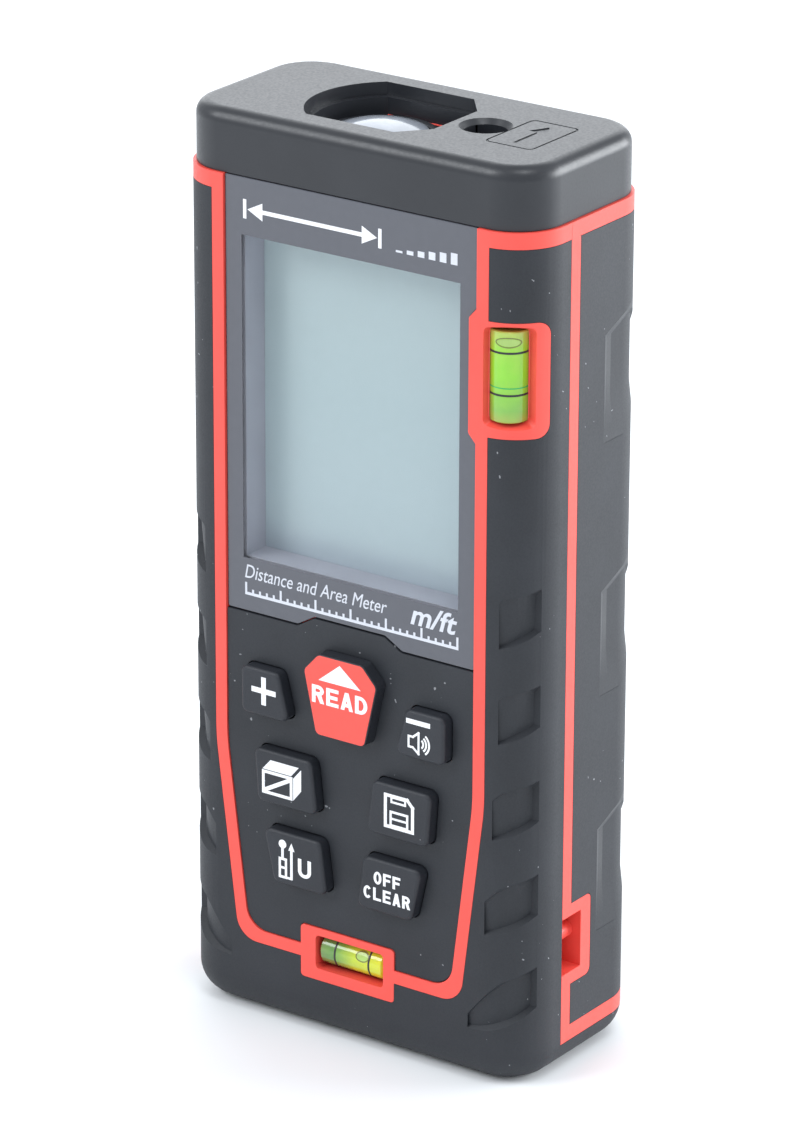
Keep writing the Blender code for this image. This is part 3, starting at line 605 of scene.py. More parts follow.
def fluid_finish(name, axis, middle, half, *stops):
    """Level fluid: yellow-green that changes along the vial."""
    finish = Finish(name, stops[0][1], 0.08, Coat_Weight=0.8, Coat_Roughness=0.03, IOR=1.4)
    place = (finish.along(axis) - middle) / (2 * half) + 0.5
    swirl = finish.noise(700.0, 3.0)
    tone = finish.ramp(place + (swirl - 0.5) * 0.12, *stops)
    finish.set(Base_Color=finish.mix(swirl * 0.35, tone, (0.40, 0.58, 0.06)))
    return finish.material


STEEL_FINISH = metal_finish("bright_steel", (0.62, 0.62, 0.64), 0.3, 900.0)
BRASS_FINISH = metal_finish("turned_brass", (0.72, 0.50, 0.20), 0.3, 700.0)
BOARD_FINISH = board_finish()
EPOXY_FINISH = moulded("black_epoxy", (0.02, 0.02, 0.022), 0.5, grain=0.15)
WHITE_FINISH = moulded("white_light_guide", (0.72, 0.72, 0.70), 0.5, grain=0.4, wear=0.04)
CELL_FINISH = moulded("cell_sleeve", (0.05, 0.06, 0.09), 0.3, grain=0.5, relief=0.004, Coat_Weight=0.4)
LENS_FINISH = lens_finish()
GREEN_LINE = moulded("green_line", (0.04, 0.42, 0.09), 0.2, grain=0.3, relief=0.002)
BUBBLE_EDGE = moulded("bubble_edge", (0.17, 0.19, 0.05), 0.2, grain=0.3, relief=0.002)
BUBBLE_FINISH = moulded("bubble_gleam", (0.36, 0.54, 0.14), 0.15, grain=0.3, relief=0.002, wear=0.2)
WINDOW_FINISH = window_finish()
LCD_FINISH = lcd_finish()


# ------------------------------------------------------------------ shared outlines

def line_outline(distance):
    left = [(-u, v, radius) for u, v, radius in LINE_CORNERS]
    return rounded(grown(left + list(reversed(LINE_CORNERS)), distance), steps=14)


def rectangle(x, z, radius=0.5):
    return [(x[0], z[0], radius), (x[1], z[0], radius), (x[1], z[1], radius), (x[0], z[1], radius)]


LOW_PAD = ((-6.9, 6.6), (7.05, 13.8))                    # red frame of the low level
HIGH_X, HIGH_Y, HIGH_Z = 16.6, -8.15, (80.4, 94.1)       # red frame of the corner level
LEVEL_TURN = 30.0        # the corner level looks this far round from the front
NOTCH_X, NOTCH_Z, WINDOW_LOW, WINDOW_X = (5.0, 7.4), 53.1, 51.7, 17.55


def level_outline(front, gap):
    """Red frame round the corner level, in (y, z), from y = front backwards."""
    back, foot, top = HIGH_Y + gap, HIGH_Z[0] - gap, HIGH_Z[1] + gap
    return rounded([(front, foot, 0.0), (back, foot, 1.6), (back, top, 1.6), (front, top, 0.0)])


def strap_outline(front, gap):
    """Red frame round the strap slot, in (y, z), from y = front backwards."""
    back, foot, top = 1.27 + gap, 10.9 - gap, 21.15 + gap
    return rounded([(front, foot, 0.0), (back, foot, 0.9), (back, top, 0.7), (front, top, 0.0)])


def window_corners(gap):
    side, far, near = WINDOW_X - gap, NOTCH_X[1], NOTCH_X[0]
    step = HIGH_X - gap
    return [(-side, WINDOW_LOW, 0.3), (-far, WINDOW_LOW, 0.8), (-near, NOTCH_Z, 0.8), (near, NOTCH_Z, 0.8),
            (far, WINDOW_LOW, 0.8), (side, WINDOW_LOW, 0.3), (side, HIGH_Z[0] - 1.1 - gap, 0.3),
            (step, HIGH_Z[0] - gap, 0.3), (step, HIGH_Z[1] + gap, 0.3), (side, HIGH_Z[1] + 1.1 + gap, 0.3),
            (side, HOUSING_TOP - gap, 0.1), (-side, HOUSING_TOP - gap, 0.1)]


def keypad_top(gap):
    low, top = WINDOW_LOW - gap, NOTCH_Z - gap
    return [(-30.0, low, 0.0), (-NOTCH_X[1], low, 0.8), (-NOTCH_X[0], top, 0.8), (NOTCH_X[0], top, 0.8),
            (NOTCH_X[1], low, 0.8), (30.0, low, 0.0), (30.0, 130.0, 0.0), (-30.0, 130.0, 0.0)]


READ_CORNERS = [(-3.4, 39.5, 0.7), (3.4, 39.5, 0.7), (5.1, 47.2, 0.8), (3.1, 49.4, 0.8),
                (-3.1, 49.4, 0.8), (-5.1, 47.2, 0.8)]
PLUS_CORNERS = [(-14.5, 39.6, 0.9), (-7.6, 39.6, 0.9), (-9.1, 45.5, 0.9), (-14.5, 45.5, 0.9)]
AREA_CORNERS = [(-12.2, 28.8, 0.9), (-3.6, 28.8, 0.9), (-4.4, 35.5, 0.9), (-12.7, 35.5, 0.9)]
UNIT_CORNERS = [(-9.9, 18.9, 0.9), (-2.2, 18.9, 0.9), (-3.1, 25.6, 0.9), (-11.4, 25.6, 0.9)]
KEYS = {"read": READ_CORNERS, "plus": PLUS_CORNERS, "minus": mirrored(PLUS_CORNERS), "area": AREA_CORNERS,
        "memory": mirrored(AREA_CORNERS), "unit": UNIT_CORNERS, "off": mirrored(UNIT_CORNERS)}


def key_openings(span, clearance):
    return gather("key_openings", *[slab(name, rounded(grown(corners, clearance)), "y", span)
                                    for name, corners in KEYS.items()])


# ------------------------------------------------------------------ rubber

POCKET_FOOT, POCKET_PITCH, POCKET_TALL = 10.1, 11.75, 5.1
# One row for each pocket, from the lowest, measured across the corner at 45 degrees: its front end, the face
# there, how far its floor is moved back, and how fast its top falls.
POCKETS = ((3.3, -20.98, 0.06, 0.41), (4.9, -22.53, -0.02, 0.35), (5.6, -23.01, -0.16, 0.31),
           (6.15, -23.31, -0.27, 0.27), (6.15, -23.31, -0.27, 0.25))


def grip_pockets():
    """Grip pockets round the front corners, deepest at the foot and rear, faded out at the front and top."""
    rear_y, far = -8.87, 11.0
    shapes = []
    for index, (near, face, forward, fall) in enumerate(POCKETS):
        low = POCKET_FOOT + index * POCKET_PITCH
        top, across = low + POCKET_TALL, far - near
        foot = low - 0.42 * across
        ledge = 0.42 + 0.5 * (23.53 + face) / across
        corners = [(near, foot - 2.0, 0.0), (far + 1.0, low - 1.6, 0.0), (far + 1.0, top + fall, 0.0),
                   (near, top - fall * across, 0.6)]
        for side, outline in ((1, corners), (-1, mirrored(corners))):
            pocket = slab("pocket", rounded(outline), "y", (-26.5, -20.0))
            slice_off(pocket, (side * near, face, foot), (side * ledge, 0.5, -1.0))
            slice_off(pocket, (side * near, -23.5, top - fall * across), (-0.25 * fall * side, 0.35, 0.25))
            turn_upright(pocket, 45 * side)
            slice_off(pocket, (0.0, rear_y, 0.0), (0.0, 1.0, 0.0))
            floor = outer_form("pocket_floor", 0.0, top=30.0, foot=-30.0)
            floor.rotation_euler = (math.radians(4.5), math.radians(1.5) * side, 0.0)
            floor.location = (-1.15 * side * MM, forward * MM, (low + 2.0) * MM)
            choose(floor)
            settle()
            shapes.append(cut(pocket, floor, outer_form("pocket_limit", 0.82, foot=-10.0)))
    return gather("grip_pockets", *shapes)


def finger_hollows():
    """Finger hollows in the rear corners: sloping front edge, slanting top, floor that runs out below."""
    depth, half_x, half_y = 0.5, 25.0, 12.5
    hollows = []
    for low in HOLLOWS:
        corners = []
        for side in (1, -1):
            across = (17.0, 27.0) if side > 0 else (-27.0, -17.0)
            corner = block("hollow", across, (2.4, 14.0), (low - 1.5, low + 17.0))
            slice_off(corner, (half_x * side, HOLLOW_FRONT, low), (-2.0 * side, -depth, 0.0))
            slice_off(corner, (half_x * side, HOLLOW_FRONT, low + HOLLOW_TALL),
                      (-1.3 * side, -HOLLOW_SLANT * depth, depth))
            corners.append(corner)
        floor = outer_form("hollow_floor", depth, top=low + 30, foot=low + 3.0)
        ramp = outer_form("hollow_ramp", depth, top=low + 4.0, foot=low - 2.5)
        wider = [(half + 0.05) / (half - depth) for half in (half_x, half_y)]
        flare(ramp, "z", low - 2.5, (*wider, 1.0))
        for shape in (floor, ramp):
            shape.location.y = 0.4 * MM
            choose(shape)
            settle()
        hollows.append(cut(gather("hollow", *corners), floor, ramp))
    return gather("finger_hollows", *hollows)


def make_front_boot():
    boot = outer_form("front_boot_rubber", 0.0, top=BAND_FOOT - GROOVE)
    gap = GROOVE
    cut(boot, outer_form("lining", RUBBER),
        block("behind", (-30, 30), (PARTING - gap, 20), (LOW_BAND[0] - gap, 130)),
        slab("line", line_outline(LINE_WIDTH / 2 + gap), "y", (-14.0, -10.5)),
        slab("pad", rounded(grown(rectangle(*LOW_PAD), gap)), "y", (-14.0, -10.0)),
        slab("level", level_outline(-20.0, gap), "x", (15.0, 26.0)), grip_pockets())
    soften(boot, 0.14)
    complete(boot, RUBBER_FINISH, replaced=["front_boot"])


def make_rear_grip():
    grip = outer_form("rear_grip_rubber", 0.0, top=BAND_FOOT - GROOVE)
    gap = GROOVE
    low, high = reach("rear_panel")
    cut(grip, outer_form("lining", RUBBER), block("before", (-30, 30), (-20, STRIPE_BACK + gap), (-5, 130)),
        block("below", (-30, 30), (-20, 20), (-5, LOW_BAND[1] + gap)),
        slab("strap", strap_outline(-20.0, gap), "x", (15.0, 30.0)),
        slab("panel", rounded(grown(rectangle((low.x, high.x), (low.z, high.z), 2.0), gap)), "y",
             (10.5, 14.0)),
        finger_hollows())
    soften(grip, 0.14)
    complete(grip, GRIP_FINISH, replaced=["rear_grip"], angle=9.6)


def make_keypad_mat():
    mat = slab("keypad_mat_rubber", line_outline(-LINE_WIDTH / 2 - GROOVE), "y", (KEYPAD_FACE, -11.3))
    cut(mat, slab("window", rounded(keypad_top(0.16)), "y", (-14.0, -10.0)),
        slab("pad", rounded(grown(rectangle(*LOW_PAD), GROOVE)), "y", (-14.0, -10.0)),
        key_openings((-14.0, -10.0), 0.12))
    soften(mat, 0.12)
    complete(mat, RUBBER_FINISH, replaced=["keypad_mat"])


# ------------------------------------------------------------------ red housings

def skin_block(name, x, y, z):
    return cut(block(name, x, y, z), outer_form("lining", SKIN + 0.4))


def make_front_housing():
    housing = outer_form("front_housing_red", SKIN)
    past = PARTING + 0.3
    cut(housing, outer_form("cavity", CAVITY), block("behind", (-30, 30), (past, 20), (-5, 130)))
    line = cut(slab("line", line_outline(LINE_WIDTH / 2), "y", (-13.5, -10.9)),
               slab("inside", line_outline(-LINE_WIDTH / 2), "y", (-14.0, -10.0)))
    low, high = HIGH_Z
    level = cut(slab("level", level_outline(-13.7, 0.0), "x", (HIGH_X + 1.2, 26.2)),
                outer_form("lining", SKIN + 0.4))
    backing = keep(block("backing", (16.9, 24.0), (-11.6, -5.6), (low + 0.2, high - 0.2)),
                   outer_form("skin", SKIN + 0.2))
    step = slab("step", rounded([(HIGH_X, low, 0.4), (18.0, low - 1.55, 0.0), (19.0, low - 1.4, 0.0),
                                 (19.0, high + 1.4, 0.0), (18.0, high + 1.55, 0.0), (HIGH_X, high, 0.4)]),
                "y", (-13.3, -10.95))
    join(housing, line, skin_block("band", (18.4, 26), (-13.8, past), (BAND_FOOT, 116)),
         skin_block("band", (-26, -18.4), (-13.8, past), (BAND_FOOT, 116)), level, backing, step,
         slab("pad", rounded(rectangle(*LOW_PAD)), "y", (-13.4, -7.1)))
    keep(housing, outer_form("outside", 0.0))
    cut(housing, block("above", (-40, 40), (-40, 40), (HOUSING_TOP, 140)),
        block("behind", (-40, 40), (PARTING - 0.04, 40), (-5, 130)))
    vial_low, vial_high = reach("front_vial")
    centre = (vial_low + vial_high) / 2
    span = (vial_low.x - 0.25, vial_high.x + 0.25)
    window = block("window", span, (-14.0, centre.y), (centre.z - 2.15, centre.z + 2.15))
    bevel_where(window, is_deep, 0.5, 4)
    cut(housing, window, rod("seat", "x", (centre.y, centre.z), 2.2, span))
    vial_low, vial_high = reach("corner_vial")
    centre = (vial_low + vial_high) / 2
    span = (vial_low.z - 0.04, vial_high.z + 0.04)
    opening = block("opening", (-2.17, 2.17), (-12.0, 0.0), span)
    bevel_where(opening, is_deep, 0.6, 5)
    mouth = block("mouth", (-2.3, 2.3), (-3.1, -1.0), span)
    bevel_where(mouth, is_deep, 0.6, 5)
    flare(mouth, "y", -3.1, (1.75, 1.0, 1.16))
    for shape in (opening, mouth):
        turn_upright(shape, LEVEL_TURN, (centre.x, centre.y, 0.0))
    cut(housing, rod("seat", "z", (centre.x, centre.y), 2.37, span), opening, mouth)
    bezel_low, bezel_high = reach("display_bezel")
    cut(housing, block("display", (bezel_low.x - 0.2, bezel_high.x + 0.2), (-12.0, -9.0),
                       (bezel_low.z - 0.2, bezel_high.z + 0.2)), key_openings((-13.0, -9.0), 0.4))
    soften(housing, 0.18, segments=3)
    complete(housing, RED_FINISH, replaced=["front_housing"])


SCREWS = [(side, height) for side in (19.0, -19.0) for height in (28.0, 99.5)]


def make_rear_housing():
    housing = outer_form("rear_housing_red", SKIN)
    past = PARTING - 0.5
    cut(housing, outer_form("cavity", CAVITY), block("before", (-30, 30), (-20, past), (-5, 130)))
    join(housing, skin_block("stripe", (22, 26), (past, STRIPE_BACK), (LOW_BAND[0] + 1.0, 116)),
         skin_block("stripe", (-26, -22), (past, STRIPE_BACK), (LOW_BAND[0] + 1.0, 116)),
         skin_block("low_band", (-27, 27), (past + 0.1, 20), LOW_BAND),
         skin_block("top_band", (-28, 28), (past + 0.2, 21), (BAND_FOOT, 117)))
    strap = cut(slab("strap", strap_outline(past - 0.1, 0.0), "x", (22.2, 29.0)),
                outer_form("lining", SKIN + 0.4))
    bay_x, bay_y, bay_z = 11.3, -1.4, (14.0, 64.0)
    join(housing, strap,
         block("bay", (-bay_x - 1, bay_x + 1), (bay_y - 1, 10.6), (bay_z[0] - 1, bay_z[1] + 1)))
    cut(housing, block("inside", (-bay_x, bay_x), (bay_y, 20.0), bay_z))
    join(housing, block("slot_box", (19.0, 23.0), (past, 0.27), (11.5, 20.65)))
    for place in SCREWS:
        join(housing, rod("boss", "y", place, 2.6, (past, 10.4), 32))
    cut(housing, block("slot", (20.0, 35.0), (-20, -0.73), (12.5, 19.65)))
    join(housing, rod("bar", "y", (22.7, 16.8), 1.1, (past, -0.2), 40))
    keep(housing, outer_form("outside", 0.0))
    cut(housing, block("above", (-40, 40), (-40, 40), (HOUSING_TOP, 140)),
        block("before", (-40, 40), (-40, PARTING), (-5, 130)))
    for place in SCREWS:
        cut(housing, rod("bore", "y", place, 2.1, (2.4, 14.0), 32),
            rod("bore", "y", place, 1.15, (-6.0, 3.0), 24))
    soften(housing, 0.12)
    complete(housing, RED_FINISH, replaced=["rear_housing"])


# ------------------------------------------------------------------ cap and optics

LENS_X, LENS_Y = ((reach("receiver_lens")[0] + reach("receiver_lens")[1]) / 2).xy
LASER_X, LASER_Y = ((reach("laser_window")[0] + reach("laser_window")[1]) / 2).xy
WELL_FLOOR, WELL_STEP = 108.3, 110.4


def well_outline(shrink):
    radius = 10.5 - shrink
    swing = math.asin(7.95 / 10.5)
    outline = [(2.9, -7.8 + shrink), (5.9 - shrink, -4.2 + shrink * 0.4), (5.9 - shrink, 4.4 - shrink * 0.4),
               (2.9, 8.1 - shrink)]
    for step in range(41):
        angle = math.pi - swing + 2 * swing * step / 40
        outline.append((-2.4 + radius * math.cos(angle), 0.15 + radius * math.sin(angle)))
    return outline


def make_cap():
    cap = outer_form("cap_plastic", 0.4, top=HEIGHT, foot=CAP_FOOT, top_edge=1.7)
    cut(cap, slab("well", well_outline(0.0), "z", (WELL_STEP, 120.0)),
        slab("well_foot", well_outline(0.8), "z", (WELL_FLOOR, 115.0)),
        block("under", (-20.5, 20.5), (-9.0, 9.0), (100.0, 106.8)),
        rod("lens_seat", "z", (LENS_X, LENS_Y), 6.85, (100.0, 110.0), 96),
        rod("laser_hole", "z", (LASER_X, LASER_Y), 2.5, (100.0, 115.0), 64),
        rod("laser_mouth", "z", (LASER_X, LASER_Y), 2.3, (HEIGHT - 0.8, HEIGHT + 0.6), 64, tip=3.7))
    frame_outer = rounded(rectangle((12.9, 19.4), (-4.6, 5.4), 0.8))
    frame_inner = rounded(rectangle((13.15, 19.15), (-4.35, 5.15), 0.6))
    groove = cut(slab("groove", frame_outer, "z", (HEIGHT - 0.12, HEIGHT + 1)),
                 slab("land", frame_inner, "z", (HEIGHT - 1, HEIGHT + 2)))
    arrow = slab("arrow", [(15.95, -3.2), (16.35, -3.2), (16.35, 1.6), (17.4, 1.6), (16.15, 3.9),
                           (14.9, 1.6), (15.95, 1.6)], "z", (HEIGHT - 0.12, HEIGHT + 1))
    cut(cap, groove, arrow)
    soften(cap, 0.15, segments=3)
    complete(cap, CAP_FINISH, replaced=["top_cap"])


def make_lens():
    low, high = reach("receiver_lens")
    shares = [step / 12 for step in range(13)]
    dome = [(5.55 * share, high.z - 1.15 * share * share) for share in shares]
    rim = [(5.62, high.z - 1.22), (5.62, low.z + 1.0), (6.5, low.z + 1.0), (6.5, low.z), (0.0, low.z)]
    lens = turned("receiver_lens_glass", dome + rim, (LENS_X, LENS_Y, 0), sides=96)
    complete(lens, LENS_FINISH, replaced=["receiver_lens"])
    foot = reach("lens_ring")[0].z - 0.25
    ring = turned("lens_seat_ring", [(6.8, foot + 0.45), (6.8, foot), (6.2, foot), (5.9, foot + 0.3),
                                     (5.9, foot + 0.45)], (LENS_X, LENS_Y, 0), sides=96, closed=True)
    soften(ring, 0.05)
    complete(ring, CAP_FINISH, replaced=["lens_ring"])
    strip = block("red_light_seal", (-8.4, 1.0), (6.9, 7.15), (WELL_FLOOR + 0.02, WELL_FLOOR + 0.2))
    soften(strip, 0.07)
    complete(strip, RED_FINISH)


# ------------------------------------------------------------------ display

def make_display():
    window = slab("window_panel", rounded(window_corners(GROOVE), 4), "y", (WINDOW_FACE, -11.5))
    soften(window, 0.1)
    complete(window, WINDOW_FINISH, replaced=["display_window"])
    low, high = reach("display_bezel")
    bezel = cut(block("display_well", (low.x, high.x), (-11.49, high.y + 0.28), (low.z, high.z)),
                block("view", (-VIEW_X, VIEW_X), (-15, -5), VIEW_Z))
    soften(bezel, 0.05)
    complete(bezel, BEZEL_FINISH, replaced=["display_bezel"])


# ------------------------------------------------------------------ legends

def plate(outline, face, holes=()):
    """A thin print on a face that looks to the front."""
    return slab("print", outline, "y", (face - 0.03, face + 0.02), holes)


def oval(centre, radii, start, end, steps=16):
    """Points on part of an oval, between two angles in degrees."""
    angles = [math.radians(start + (end - start) * step / steps) for step in range(steps + 1)]
    return [(centre[0] + radii[0] * math.cos(angle), centre[1] + radii[1] * math.sin(angle))
            for angle in angles]


def letter(mark, x, z, wide, tall, thick):
    """Outline and holes of a bold plain capital in a box that starts at x, z."""
    bar = thick * 0.86
    mid = (tall - bar) / 2
    centre = (wide / 2, tall / 2)
    head = [(thick, tall - bar), (wide, tall - bar), (wide, tall), (0, tall)]
    holes = []
    if mark == "E":
        shape = [(0, 0), (wide, 0), (wide, bar), (thick, bar), (thick, mid), (wide * 0.92, mid),
                 (wide * 0.92, mid + bar), (thick, mid + bar)] + head
    elif mark == "F":
        shape = [(0, 0), (thick, 0), (thick, mid), (wide * 0.9, mid), (wide * 0.9, mid + bar),
                 (thick, mid + bar)] + head
    elif mark == "L":
        shape = [(0, 0), (wide, 0), (wide, bar), (thick, bar), (thick, tall), (0, tall)]
    elif mark == "A":
        lean = (wide - thick) / 2 / tall
        low, high = 0.19 * tall, 0.19 * tall + bar
        shape = [(0, 0), (thick, 0), (thick + lean * low, low), (wide - thick - lean * low, low),
                 (wide - thick, 0), (wide, 0), ((wide + thick) / 2, tall), ((wide - thick) / 2, tall)]
        holes = [[(thick + lean * high, high), (wide - thick - lean * high, high),
                  (wide / 2, (wide / 2 - thick) / lean)]]
    elif mark == "D":
        turn = wide * 0.42
        shape = [(0, 0)] + oval((turn, tall / 2), (wide - turn, tall / 2), -90, 90) + [(0, tall)]
        holes = [[(thick, bar)] + oval((turn, tall / 2), (wide - turn - thick, tall / 2 - bar), -90, 90)
                 + [(thick, tall - bar)]]
    elif mark == "R":
        turn, low = wide * 0.5, tall * 0.41
        bowl = (low + tall) / 2
        radii = (wide * 0.47, tall - bowl)
        shape = ([(0, 0), (thick, 0), (thick, low), (wide * 0.42, low), (wide - thick * 1.1, 0), (wide, 0)]
                 + oval((turn, bowl), radii, -55, 90) + [(0, tall)])
        holes = [[(thick, low + bar)] + oval((turn, bowl), (radii[0] - thick, radii[1] - bar), -90, 90)
                 + [(thick, tall - bar)]]
    elif mark == "U":
        bowl = (wide / 2, tall * 0.36)
        shape = ([(wide, tall), (wide - thick, tall)] + oval(bowl, (bowl[0] - thick, bowl[1] - bar), 0, -180)
                 + [(thick, tall), (0, tall)] + oval(bowl, bowl, -180, 0))
    elif mark == "C":
        inner = (centre[0] - thick, centre[1] - bar)
        shape = oval(centre, centre, 38, 322, 28) + oval(centre, inner, 318, 42, 28)
    else:
        shape = oval(centre, centre, 0, 348, 29)
        holes = [oval(centre, (centre[0] - thick, centre[1] - bar), 0, 348, 29)]
    return [(x + u, z + v) for u, v in shape], [[(x + u, z + v) for u, v in hole] for hole in holes]


def capitals(text, x, z, face, thick, space):
    """Bold plain capitals that fill the box given by its x and z spans."""
    wide = (x[1] - x[0] - space * (len(text) - 1)) / len(text)
    pieces = []
    for index, mark in enumerate(text):
        shape, holes = letter(mark, x[0] + index * (wide + space), z[0], wide, z[1] - z[0], thick)
        pieces.append(plate(shape, face, holes))
    return pieces


def stroke(start, end, width, face):
    first, second = Vector(start), Vector(end)
    along = (second - first).normalized()
    side = Vector((along.y, -along.x)) * (width / 2)
    return plate([tuple(first + side), tuple(second + side), tuple(second - side), tuple(first - side)], face)


def outline_strokes(points, width, face):
    pieces = []
    for start, end in zip(points, points[1:] + points[:1]):
        along = (Vector(end) - Vector(start)).normalized() * (width / 2)
        pieces.append(stroke(tuple(Vector(start) - along), tuple(Vector(end) + along), width, face))
    return pieces


def disc(centre, radius, face):
    return plate(oval(centre, (radius, radius), 0, 345, 23), face)


def arc(centre, radius, width, low, high, face):
    """Part of a ring, as one outline."""
    low, high = math.degrees(low), math.degrees(high)
    outer, inner = radius + width / 2, radius - width / 2
    outline = oval(centre, (outer, outer), low, high, 12) + oval(centre, (inner, inner), high, low, 12)
    return plate(outline, face)


def words(text, x, z, face, bold=0.0, lean=0.0):
    """Plain lettering stretched into the box given by its x and z spans."""
    bpy.ops.object.select_all(action="DESELECT")
    bpy.ops.object.text_add()
    label = bpy.context.active_object
    label.data.body = text
    label.data.size = 0.01
    label.data.offset = bold * 0.01
    label.data.shear = lean
    label.data.extrude = 0.02 * MM
    label.data.resolution_u = 4
    bpy.ops.object.convert(target="MESH")
    label = bpy.context.active_object
    corners = [vertex.co for vertex in label.data.vertices]
    low = [min(corner[index] for corner in corners) for index in (0, 1)]
    high = [max(corner[index] for corner in corners) for index in (0, 1)]
    scale_u = (x[1] - x[0]) * MM / (high[0] - low[0])
    scale_v = (z[1] - z[0]) * MM / (high[1] - low[1])
    label.matrix_world = (Matrix.Translation(Vector((x[0] * MM, (face - 0.01) * MM, z[0] * MM)))
                          @ PLANES["y"].to_4x4() @ Matrix.Diagonal((scale_u, scale_v, 1.0, 1.0))
                          @ Matrix.Translation(Vector((-low[0], -low[1], 0.0))))
    choose(label)
    settle()
    return label


def finish_print(name, pieces, body, material=PRINT_WHITE):
    whole = join(pieces[0], *pieces[1:])
    whole.name = name
    complete(whole, material, body=body)


def key_legends():
    face = KEY_FACE
    bars = [plate(rectangle_points((-12.9, -9.4), (42.55, 43.21)), face),
            plate(rectangle_points((-11.48, -10.82), (41.13, 44.63)), face)]
    finish_print("plus_legend", bars, "plus_key")
    horn = [(9.6, 41.05), (10.2, 41.05), (11.0, 40.4), (11.0, 43.0), (10.2, 42.35), (9.6, 42.35)]
    speaker = outline_strokes(horn, 0.26, face)
    speaker += [arc((11.05, 41.7), radius, 0.24, -0.9, 0.9, face) for radius in (0.6, 1.02, 1.44)]
    bar = plate(rectangle_points((9.25, 12.6), (43.92, 44.52)), face)
    finish_print("minus_legend", [bar] + speaker, "minus_key")
    box_front = [(-11.25, 30.2), (-7.2, 30.2), (-7.2, 32.8), (-11.25, 32.8)]
    finish_print("area_legend", outline_strokes(box_front, 0.38, face)
                 + [stroke((-11.05, 30.45), (-7.4, 32.5), 0.5, face),
                    plate([(-11.35, 33.1), (-7.2, 33.1), (-6.1, 34.4), (-10.2, 34.4)], face),
                    plate([(-6.9, 30.05), (-5.75, 31.5), (-5.75, 34.2), (-6.9, 32.85)], face)], "area_key")
    disk = [(6.35, 30.3), (10.2, 30.3), (10.2, 33.4), (9.45, 34.2), (6.35, 34.2)]
    finish_print("memory_legend", outline_strokes(disk, 0.42, face)
                 + outline_strokes([(7.2, 33.45), (9.15, 33.45), (9.15, 34.05), (7.2, 34.05)], 0.26, face)
                 + outline_strokes([(7.1, 30.5), (9.45, 30.5), (9.45, 32.2), (7.1, 32.2)], 0.3, face)
                 + [stroke((7.2, 31.35), (9.35, 31.35), 0.26, face)], "memory_key")
    gauge = [(-8.9, 19.9), (-8.0, 19.9), (-8.0, 22.2), (-8.9, 22.2)]
    finish_print("unit_legend", outline_strokes(gauge, 0.32, face)
                 + [stroke((-8.9, 21.1), (-8.0, 21.1), 0.3, face),
                    stroke((-8.5, 22.2), (-8.5, 23.8), 0.36, face),
                    disc((-8.5, 24.1), 0.55, face), stroke((-7.2, 19.8), (-7.2, 23.8), 0.36, face),
                    plate([(-7.65, 23.5), (-6.75, 23.5), (-7.2, 24.5)], face),
                    stroke((-7.9, 19.92), (-7.1, 19.92), 0.3, face),
                    *capitals("U", (-6.25, -4.35), (20.5, 22.85), face, 0.5, 0.0)], "unit_key")
    finish_print("off_legend", capitals("OFF", (4.7, 8.5), (22.5, 24.1), face, 0.36, 0.24)
                 + capitals("CLEAR", (3.25, 9.9), (20.4, 22.0), face, 0.36, 0.26), "off_key")
    finish_print("read_legend", capitals("READ", (-3.95, 3.95), (43.47, 45.67), READ_FACE + 0.03, 0.52, 0.3)
                 + [plate([(-3.0, 46.38), (3.0, 46.38), (0.0, 48.8)], READ_FACE + 0.03)], "read_key")


def rectangle_points(x, z):
    return [(x[0], z[0]), (x[1], z[0]), (x[1], z[1]), (x[0], z[1])]


def window_prints():
    face = WINDOW_FACE
    ticks = [plate(rectangle_points((-15.0, 15.3), (53.7, 54.05)), face)]
    for index in range(31):
        x = -14.85 + index * 1.0
        tall = 1.4 if index % 5 == 0 else 0.62
        ticks.append(plate(rectangle_points((x - 0.14, x + 0.14), (54.0, 53.85 + tall)), face))
    finish_print("scale_print", ticks, "housing", PRINT_GREY)
    caption = words("Distance and Area Meter", (-15.0, 5.3), (55.8, 57.5), face, 0.0, 0.25)
    finish_print("caption_print", [caption], "housing", PRINT_GREY)
    units = words("m/ft", (8.6, 15.1), (55.4, 58.0), face, 0.02, 0.25)
    finish_print("unit_print", [units], "housing", PRINT_GREY)
    arrow = [stroke((-14.7, 99.7), (-14.7, 102.0), 0.45, face),
             stroke((4.2, 99.7), (4.2, 102.0), 0.45, face),
             stroke((-13.0, 100.85), (2.5, 100.85), 0.5, face),
             plate([(-14.3, 100.85), (-12.2, 99.8), (-12.2, 101.9)], face),
             plate([(1.7, 99.8), (3.8, 100.85), (1.7, 101.9)], face)]
    finish_print("span_symbol", arrow, "housing", PRINT_WHITE)
    bars = []
    for index in range(6):
        x = (6.4 + 1.5 * index, 7.3 + 1.5 * index)
        bars.append(plate(rectangle_points(x, (99.7, 99.95 + 0.22 * index)), face))
    finish_print("signal_symbol", bars, "housing", PRINT_GREY)


# ------------------------------------------------------------------ keys

def make_keys():
    for name, corners in KEYS.items():
        body = name + "_key"
        low, high = reach(body)
        large = name == "read"
        face = READ_FACE + 0.08 if large else low.y
        outline = grown(corners, 0.12) if large else corners
        key = slab(name + "_key_rubber", rounded(outline), "y", (face, -9.2))
        bevel_where(key, at("y", face), 0.14 if large else 0.45, 6)
        join(key, slab("flange", rounded(grown(corners, 0.7)), "y", (-9.5, -8.9)))
        centre = (low + high) / 2
        join(key, rod("plunger", "y", (centre.x, centre.z), 1.5, (-9.2, high.y), 32))
        complete(key, KEY_RUBBER, body=body, replaced=[body])
        if large:
            top = slab("read_key_top", rounded(corners), "y", (READ_FACE + 0.03, READ_FACE + 0.5))
            bevel_where(top, at("y", READ_FACE + 0.03), 0.07, 3)
            complete(top, RED_FINISH, body=body, replaced=["read_key_cap"])


